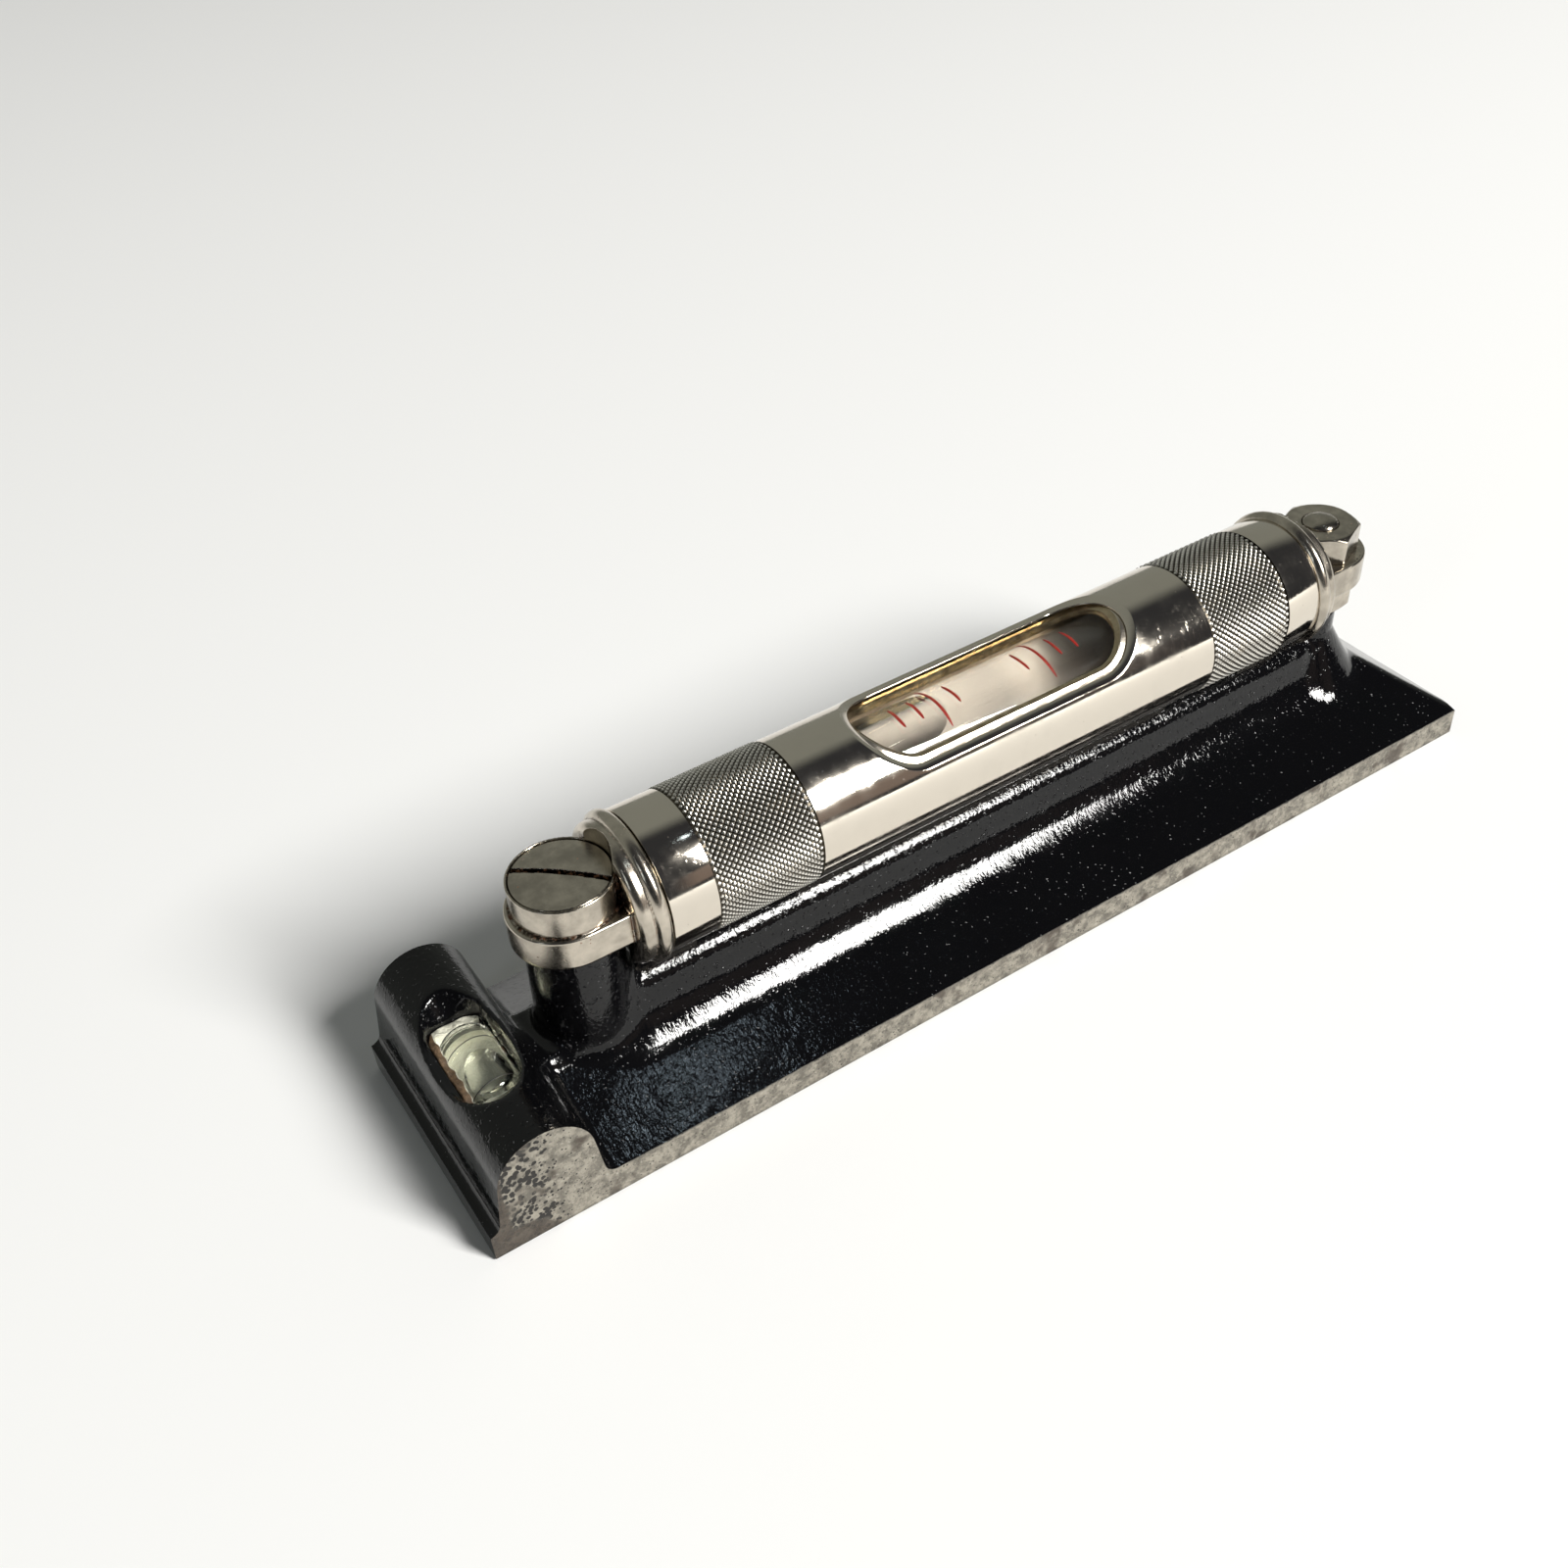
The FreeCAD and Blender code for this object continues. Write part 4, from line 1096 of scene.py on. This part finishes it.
class LEVEL_OT_main_vial(bpy.types.Operator):
    """Main vial: glass, spirit and bubble, backing, plaster collars and red graduations"""
    bl_idname = "level.main_vial"
    bl_label = "Main vial"

    def execute(self, context):
        settings = context.scene.level_vial
        start, end = WINDOW_X - GLASS_HALF, WINDOW_X + GLASS_HALF
        centre = (0, TUBE_Z)
        wall = GLASS_R - GLASS_BORE
        patches = [turned_patch(rod_profile(GLASS_R, start, end, 3.1), 96, centre=centre),
                   turned_patch(rod_profile(GLASS_BORE, start + wall, end - wall, 2.6), 96, centre=centre)]
        glass = patches_mesh("main_vial_glass_skin", patches, 60)
        flip_inner(glass, GLASS_BORE + wall / 2)
        piece = stand_in("main_vial_glass_skin", glass, "tube", ["main_vial_glass"], "vial_glass",
                         vial_glass())
        piece.visible_shadow = False
        low, high = -3.0, extent("main_vial_spirit")[0][2]
        place, faces = bubble_patch(-29.8, -2.8, GLASS_BORE - 0.03, 3.75, 7)
        patches = [turned_patch(rod_profile(GLASS_BORE + 0.02, start + wall, end - wall, 2.6), 96,
                                centre=centre), (place + np.array([0, 0, TUBE_Z]), faces)]
        spirit = patches_mesh("main_vial_spirit_skin", patches, 60)
        flip_inner(spirit, GLASS_BORE - 0.05)
        piece = stand_in("main_vial_spirit_skin", spirit, "tube", ["main_vial_spirit"], "vial_spirit",
                         vial_glass((0.975, 0.97, 0.965), "vial_spirit", 1.36))
        piece.visible_shadow = False
        self.backing(settings)
        for node, way in (("pivot_side_bedding", -1), ("adjusting_side_bedding", 1)):
            low, high = extent(node)
            profile = [(GLASS_R, low[0]), (TUBE_BORE - 0.02, low[0]), (TUBE_BORE - 0.02, high[0]),
                       (GLASS_R, high[0]), (GLASS_R, low[0])]
            mesh = patches_mesh(node + "_ring", [turned_patch(profile, 96, centre=centre)])
            stand_in(node + "_ring", mesh, "tube", [node], "vial_cement",
                     crumbly_cement("vial_plaster", settings.plaster))
        self.graduations(settings)
        return {"FINISHED"}

    def backing(self, settings):
        """Strip curled round the vial's lower side: an arc carried along the tube axis."""
        low, high = extent("main_vial_backing")
        half = math.radians(103)
        angle = np.linspace(math.pi - half, math.pi + half, 64)
        stations = np.array([low[0], high[0]])
        patches = []
        outline = np.r_[np.c_[np.full(64, GLASS_R - 0.04), angle],
                        np.c_[np.full(64, GLASS_R + 0.3), angle[::-1]]]
        outline = np.r_[outline, outline[:1]]
        place = on_tube(stations[:, None], outline[None, :, 1], outline[None, :, 0])
        patches.append((place.reshape(-1, 3), sheet_faces(2, len(outline))))
        for station in stations:
            ends = np.array([on_tube(station, outline[:64, 1], outline[:64, 0]),
                             on_tube(station, angle, np.full(64, GLASS_R + 0.3))])
            patches.append((ends.reshape(-1, 3), sheet_faces(2, 64)))
        mesh = patches_mesh("main_vial_backing_strip", patches)
        stand_in("main_vial_backing_strip", mesh, "tube", ["main_vial_backing"], "cream_backing",
                 cream_card(settings))

    def graduations(self, settings):
        """Thin raised bands on the glass: arcs round it whose ends narrow, with a slight wander."""
        patches = []
        rows = [(-9.3, 18), (-6.6, 18), (-3.9, 40), (-1.2, 18), (9.3, 18), (12.0, 40), (14.6, 18), (17.2, 18)]
        for number, (station, reach) in enumerate(rows):
            share = np.linspace(-1, 1, 41)
            angle = math.radians(reach) * share
            wide = 0.21 * np.sqrt(np.clip(1.03 - share ** 4, 0, 1))
            wander = station + 0.06 * np.sin(2.3 * share + number)
            place = np.array([on_tube(wander + side * wide, angle, GLASS_R + lift)
                              for side, lift in ((-1, -0.02), (-0.7, 0.035), (0.7, 0.035), (1, -0.02))])
            patches.append((place.reshape(-1, 3), sheet_faces(4, 41)))
        mesh = patches_mesh("graduation_lines", patches, 60)
        stand_in("graduation_lines", mesh, "tube", [], "vial_glass", red_fill(settings))


def flip_inner(mesh, radius):
    """Turns the faces of an inner shell to face its hollow, which is outside the material."""
    centres = np.array([p.center for p in mesh.polygons]) / MM
    bm = bmesh.new()
    bm.from_mesh(mesh)
    bm.faces.ensure_lookup_table()
    seen, shells = set(), []
    for face in bm.faces:
        if face in seen:
            continue
        shell, stack = [], [face]
        seen.add(face)
        while stack:
            here = stack.pop()
            shell.append(here)
            for edge in here.edges:
                for other in edge.link_faces:
                    if other not in seen:
                        seen.add(other)
                        stack.append(other)
        shells.append(shell)
    largest = max(shells, key=lambda shell: sum(f.calc_area() for f in shell))
    for shell in shells:
        if shell is not largest:
            bmesh.ops.reverse_faces(bm, faces=shell)
    bm.to_mesh(mesh)
    bm.free()
    return centres


def bubble_patch(start, end, bore, half_width, fullness):
    """A bubble under the top of a vial's bore, its station along X and the vial's axis at height 0.

    Each section is a half-lens: its top follows the bore and its lower side is a flatter arc. The
    width follows a curve between an oval and, for a great fullness, a box with rounded ends.
    """
    length = np.sin(np.linspace(-math.pi / 2, math.pi / 2, 60))
    taper = np.sqrt(np.clip(1 - np.abs(length) ** fullness, 0, 1))[:, None]
    station = (start + end) / 2 + length * (end - start) / 2
    angle = 2 * math.pi * np.arange(48) / 48
    half = half_width * taper
    y = half * np.cos(angle)
    roof = np.sqrt(bore ** 2 - y ** 2)
    chord = np.sqrt(bore ** 2 - half ** 2)
    sag = 0.35 * taper * (1 - (y / np.maximum(half, 1e-6)) ** 2)
    z = np.where(np.sin(angle) >= 0, chord + (roof - chord) * np.abs(np.sin(angle)) ** 0.25, chord - sag)
    place = np.stack([np.broadcast_to(station[:, None], y.shape), y, z], 2)
    return place.reshape(-1, 3), sheet_faces(60, 48, wrap=True)


class LEVEL_OT_cross_vial(bpy.types.Operator):
    """Cross vial in the barrel: glass, spirit with its bubble, two black rings and amber cement"""
    bl_idname = "level.cross_vial"
    bl_label = "Cross vial"

    def execute(self, context):
        settings = context.scene.level_vial
        low, high = extent("cross_vial_glass")
        low[1], high[1] = -7.2, 5.4
        glass_r, bore = 3.3, 2.5
        wall = glass_r - bore

        def laid(patch):
            place, faces = patch
            return np.c_[place[:, 1] + BARREL_X, place[:, 0], place[:, 2] + CROSS_Z], faces

        outer = laid(turned_patch(rod_profile(glass_r, low[1], high[1], 1.65), 64))
        inner = laid(turned_patch(rod_profile(bore, low[1] + wall, high[1] - wall, 1.25), 64))
        mesh = patches_mesh("cross_vial_glass_skin", [outer, inner], 60)
        flip_inner(mesh, bore)
        piece = stand_in("cross_vial_glass_skin", mesh, "base", ["cross_vial_glass"], "vial_glass",
                         vial_glass((0.985, 0.99, 0.965), "cross_glass"))
        piece.visible_shadow = False
        outer = laid(turned_patch(rod_profile(bore + 0.02, low[1] + wall, high[1] - wall, 1.25), 64))
        air = laid(bubble_patch(-6.3, 0.1, bore - 0.03, 2.15, 2.6))
        mesh = patches_mesh("cross_vial_spirit_skin", [outer, air], 60)
        flip_inner(mesh, bore)
        piece = stand_in("cross_vial_spirit_skin", mesh, "base", ["cross_vial_spirit"], "vial_spirit",
                         vial_glass((0.975, 0.98, 0.94), "cross_spirit", 1.36))
        piece.visible_shadow = False
        self.rings_on_glass(glass_r)
        self.bedding(settings, glass_r)
        return {"FINISHED"}

    def rings_on_glass(self, glass_r):
        """Two thin black bands over the top of the glass."""
        patches = []
        for station in (1.6, -5.3):
            angle = np.linspace(-1.2, 1.2, 41)
            rows = []
            for side, lift in ((-1, -0.02), (-0.6, 0.02), (0.6, 0.02), (1, -0.02)):
                radius = glass_r + lift
                rows.append(np.c_[BARREL_X + radius * np.sin(angle),
                                  station + 0.09 * side + 0.05 * np.sin(3 * angle),
                                  CROSS_Z + radius * np.cos(angle)])
            patches.append((np.array(rows).reshape(-1, 3), sheet_faces(4, 41)))
        finish = Finish("black_fill")
        grain = finish.noise(5, 3)
        ink = finish.surface(Base_Color=finish.tint(grain, (0.01, 0.01, 0.01), (0.05, 0.045, 0.035)),
                             Roughness=0.5)
        mesh = patches_mesh("cross_vial_rings", patches, 60)
        stand_in("cross_vial_rings", mesh, "base", [], "vial_glass", ink)

    def bedding(self, settings, glass_r):
        """Cement that fills the slot round the glass, its top rough and dished towards the glass."""
        def cement(x, y, z):
            top = z - 12.4 + 0.25 * np.sin(1.9 * y) * np.cos(2.3 * x + y)
            body = np.maximum(cross(pocket(x, y, 0.02), top, 0.2), POCKET_FLOOR_Z + 0.02 - z)
            vial = np.hypot(x - BARREL_X, z - CROSS_Z) - glass_r
            vial = np.maximum(vial, abs(y - POCKET_Y) - 5.9)
            return np.maximum(body, -vial)

        low, high = extent("cross_vial_bedding")
        mesh = field_mesh("cross_vial_cement", cement, low - 0.5, high + 0.5, 0.2)
        stand_in("cross_vial_cement", mesh, "base", ["cross_vial_bedding"], "vial_cement",
                 crumbly_cement("amber_cement", settings.cement, (BARREL_X, CROSS_Z)))


class LEVEL_OT_screws(bpy.types.Operator):
    """Pivot screw, adjusting stud and its two nuts"""
    bl_idname = "level.screws"
    bl_label = "Screws and nuts"

    def execute(self, context):
        settings = context.scene.level_metal
        low, high = extent("pivot_screw")
        mesh = field_mesh("pivot_screw_skin", screw, low - 0.4, high + 0.4, 0.14)
        stand_in("pivot_screw_skin", mesh, "base", ["pivot_screw"], "fastener_steel",
                 satin_nickel(settings, "screw_nickel", rings_at=(PIVOT_X,)))
        plate = satin_nickel(settings, "nut_nickel", rings_at=(STUD_X,))
        low, high = extent("adjusting_stud")
        dome = round_end(2.4, high[2], 1, 0.9, 10)
        profile = np.r_[[(0.0, low[2]), (2.4, low[2]), (2.4, 30.0)], dome]
        mesh = patches_mesh("adjusting_stud_turned", [
            turned_patch(profile, 64, along_x=False, centre=(STUD_X, 0))])
        stand_in("adjusting_stud_turned", mesh, "base", ["adjusting_stud"], "fastener_steel", plate)
        for node, body, turn, top, bottom in (
                ("upper_adjusting_nut", "upper_nut", math.radians(-36), True, False),
                ("lower_adjusting_nut", "lower_nut", 0.0, False, True)):
            low, high = extent(node)
            field = nut(low[2], high[2], turn, top, bottom)
            mesh = field_mesh(node + "_skin", field, low - 0.5, high + 0.5, 0.14)
            stand_in(node + "_skin", mesh, body, [node], "fastener_steel", plate)
        return {"FINISHED"}


def repaint(node, finish):
    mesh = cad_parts[node].data
    mesh.materials.clear()
    mesh.materials.append(finish)


class LEVEL_OT_stage(bpy.types.Operator):
    """Floor, camera, key panel and surroundings"""
    bl_idname = "level.stage"
    bl_label = "Stage"

    def execute(self, context):
        settings = context.scene.level_studio
        self.floor(settings)
        self.camera(settings)
        self.panel("key_panel", 28.5, 38, 2.5, (0.64, 1.02), settings.key, (1.0, 0.99, 0.96))
        self.panel("sky_panel", 42, 68, 2.5, (0.11, 0.07), 13.0, (0.72, 0.88, 1.0))
        self.panel("left_panel", -72, 24, 2.5, (0.22, 0.9), 4.0, (0.85, 0.93, 1.0))
        self.world()
        context.scene.view_settings.view_transform = "Standard"
        return {"FINISHED"}

    def floor(self, settings):
        mesh = bpy.data.meshes.new("floor")
        half = 3.0
        mesh.from_pydata([(-half, -half, 0), (half, -half, 0), (half, half, 0), (-half, half, 0)], [],
                         [(0, 1, 2, 3)])
        floor = bpy.data.objects.new("floor", mesh)
        bpy.context.scene.collection.objects.link(floor)
        finish = Finish("floor_paper")
        tone = finish.tint(finish.noise(0.02, 2), tuple(settings.floor), tuple(settings.floor))
        mesh.materials.append(finish.surface(Base_Color=tone, Roughness=0.9))

    def camera(self, settings):
        data = bpy.data.cameras.new("camera")
        data.lens = settings.lens
        data.sensor_width = 36
        data.clip_start, data.clip_end = 0.01, 50
        camera = bpy.data.objects.new("camera", data)
        bpy.context.scene.collection.objects.link(camera)
        camera.location = Vector((-100.27, -128.53, 156.48)) * MM
        camera.rotation_euler = [math.radians(angle) for angle in (49.774, 3.413, -33.094)]
        bpy.context.scene.camera = camera

    def panel(self, name, azimuth, elevation, distance, size, radiance, colour):
        """Soft rectangular light; azimuth 0 stands in front, towards -Y, and 90 towards +X."""
        a, e = math.radians(azimuth), math.radians(elevation)
        aim = Vector((math.sin(a) * math.cos(e), -math.cos(a) * math.cos(e), math.sin(e)))
        data = bpy.data.lights.new(name, "AREA")
        data.shape = "RECTANGLE"
        data.size, data.size_y = size
        data.color = colour
        data.energy = radiance * math.pi * size[0] * size[1]
        light = bpy.data.objects.new(name, data)
        bpy.context.scene.collection.objects.link(light)
        light.location = aim * distance + Vector((0, 0, TUBE_Z * MM))
        light.rotation_euler = aim.to_track_quat("Z", "Y").to_euler()

    def world(self):
        """Surroundings by direction: dark in front but for a low brown glow, grey behind."""
        world = bpy.data.worlds.new("surroundings")
        bpy.context.scene.world = world
        f = Finish("surroundings", world)
        look = f.add("ShaderNodeTexCoord", output="Generated")
        x, y, z = [f.add("ShaderNodeSeparateXYZ", {}, {0: look}, output=axis) for axis in range(3)]
        glow = x.rise(0.05, 0.25) * x.rise(0.62, 0.45) * z.rise(0.04, 0.12) * z.rise(0.42, 0.34)
        front = f.tint(glow, (0.035, 0.036, 0.040), (0.24, 0.19, 0.165))
        colour = f.tint(y.rise(0.0, 0.35), front, (0.25, 0.26, 0.235))
        shade = f.tree.nodes.new("ShaderNodeBackground")
        f.tree.links.new(colour.socket, shade.inputs[0])
        out = f.tree.nodes.new("ShaderNodeOutputWorld")
        f.tree.links.new(shade.outputs[0], out.inputs[0])


class LEVEL_PT_panel(bpy.types.Panel):
    """Lists the pieces of the level and their settings"""
    bl_idname = "LEVEL_PT_panel"
    bl_label = "Machinist's Level"
    bl_space_type = "VIEW_3D"
    bl_region_type = "UI"
    bl_category = "Level"

    def draw(self, context):
        for operator in OPERATORS:
            self.layout.operator(operator.bl_idname)
        for name in SETTINGS:
            group = getattr(context.scene, name)
            for key in group.__annotations__:
                self.layout.prop(group, key)


OPERATORS = (LEVEL_OT_casting, LEVEL_OT_caps, LEVEL_OT_tube, LEVEL_OT_main_vial, LEVEL_OT_cross_vial,
             LEVEL_OT_screws, LEVEL_OT_stage)
SETTINGS = {
    "level_casting": LevelCasting, "level_metal": LevelMetal, "level_vial": LevelVial,
    "level_studio": LevelStudio,
}


def register():
    for group in (*SETTINGS.values(), *OPERATORS, LEVEL_PT_panel):
        bpy.utils.register_class(group)
    for name, group in SETTINGS.items():
        setattr(bpy.types.Scene, name, PointerProperty(type=group))


def unregister():
    for name in SETTINGS:
        delattr(bpy.types.Scene, name)
    for group in reversed((*SETTINGS.values(), *OPERATORS, LEVEL_PT_panel)):
        bpy.utils.unregister_class(group)


def main():
    register()
    for operator in OPERATORS:
        family, name = operator.bl_idname.split(".")
        getattr(getattr(bpy.ops, family), name)()


if __name__ == "__main__":
    main()
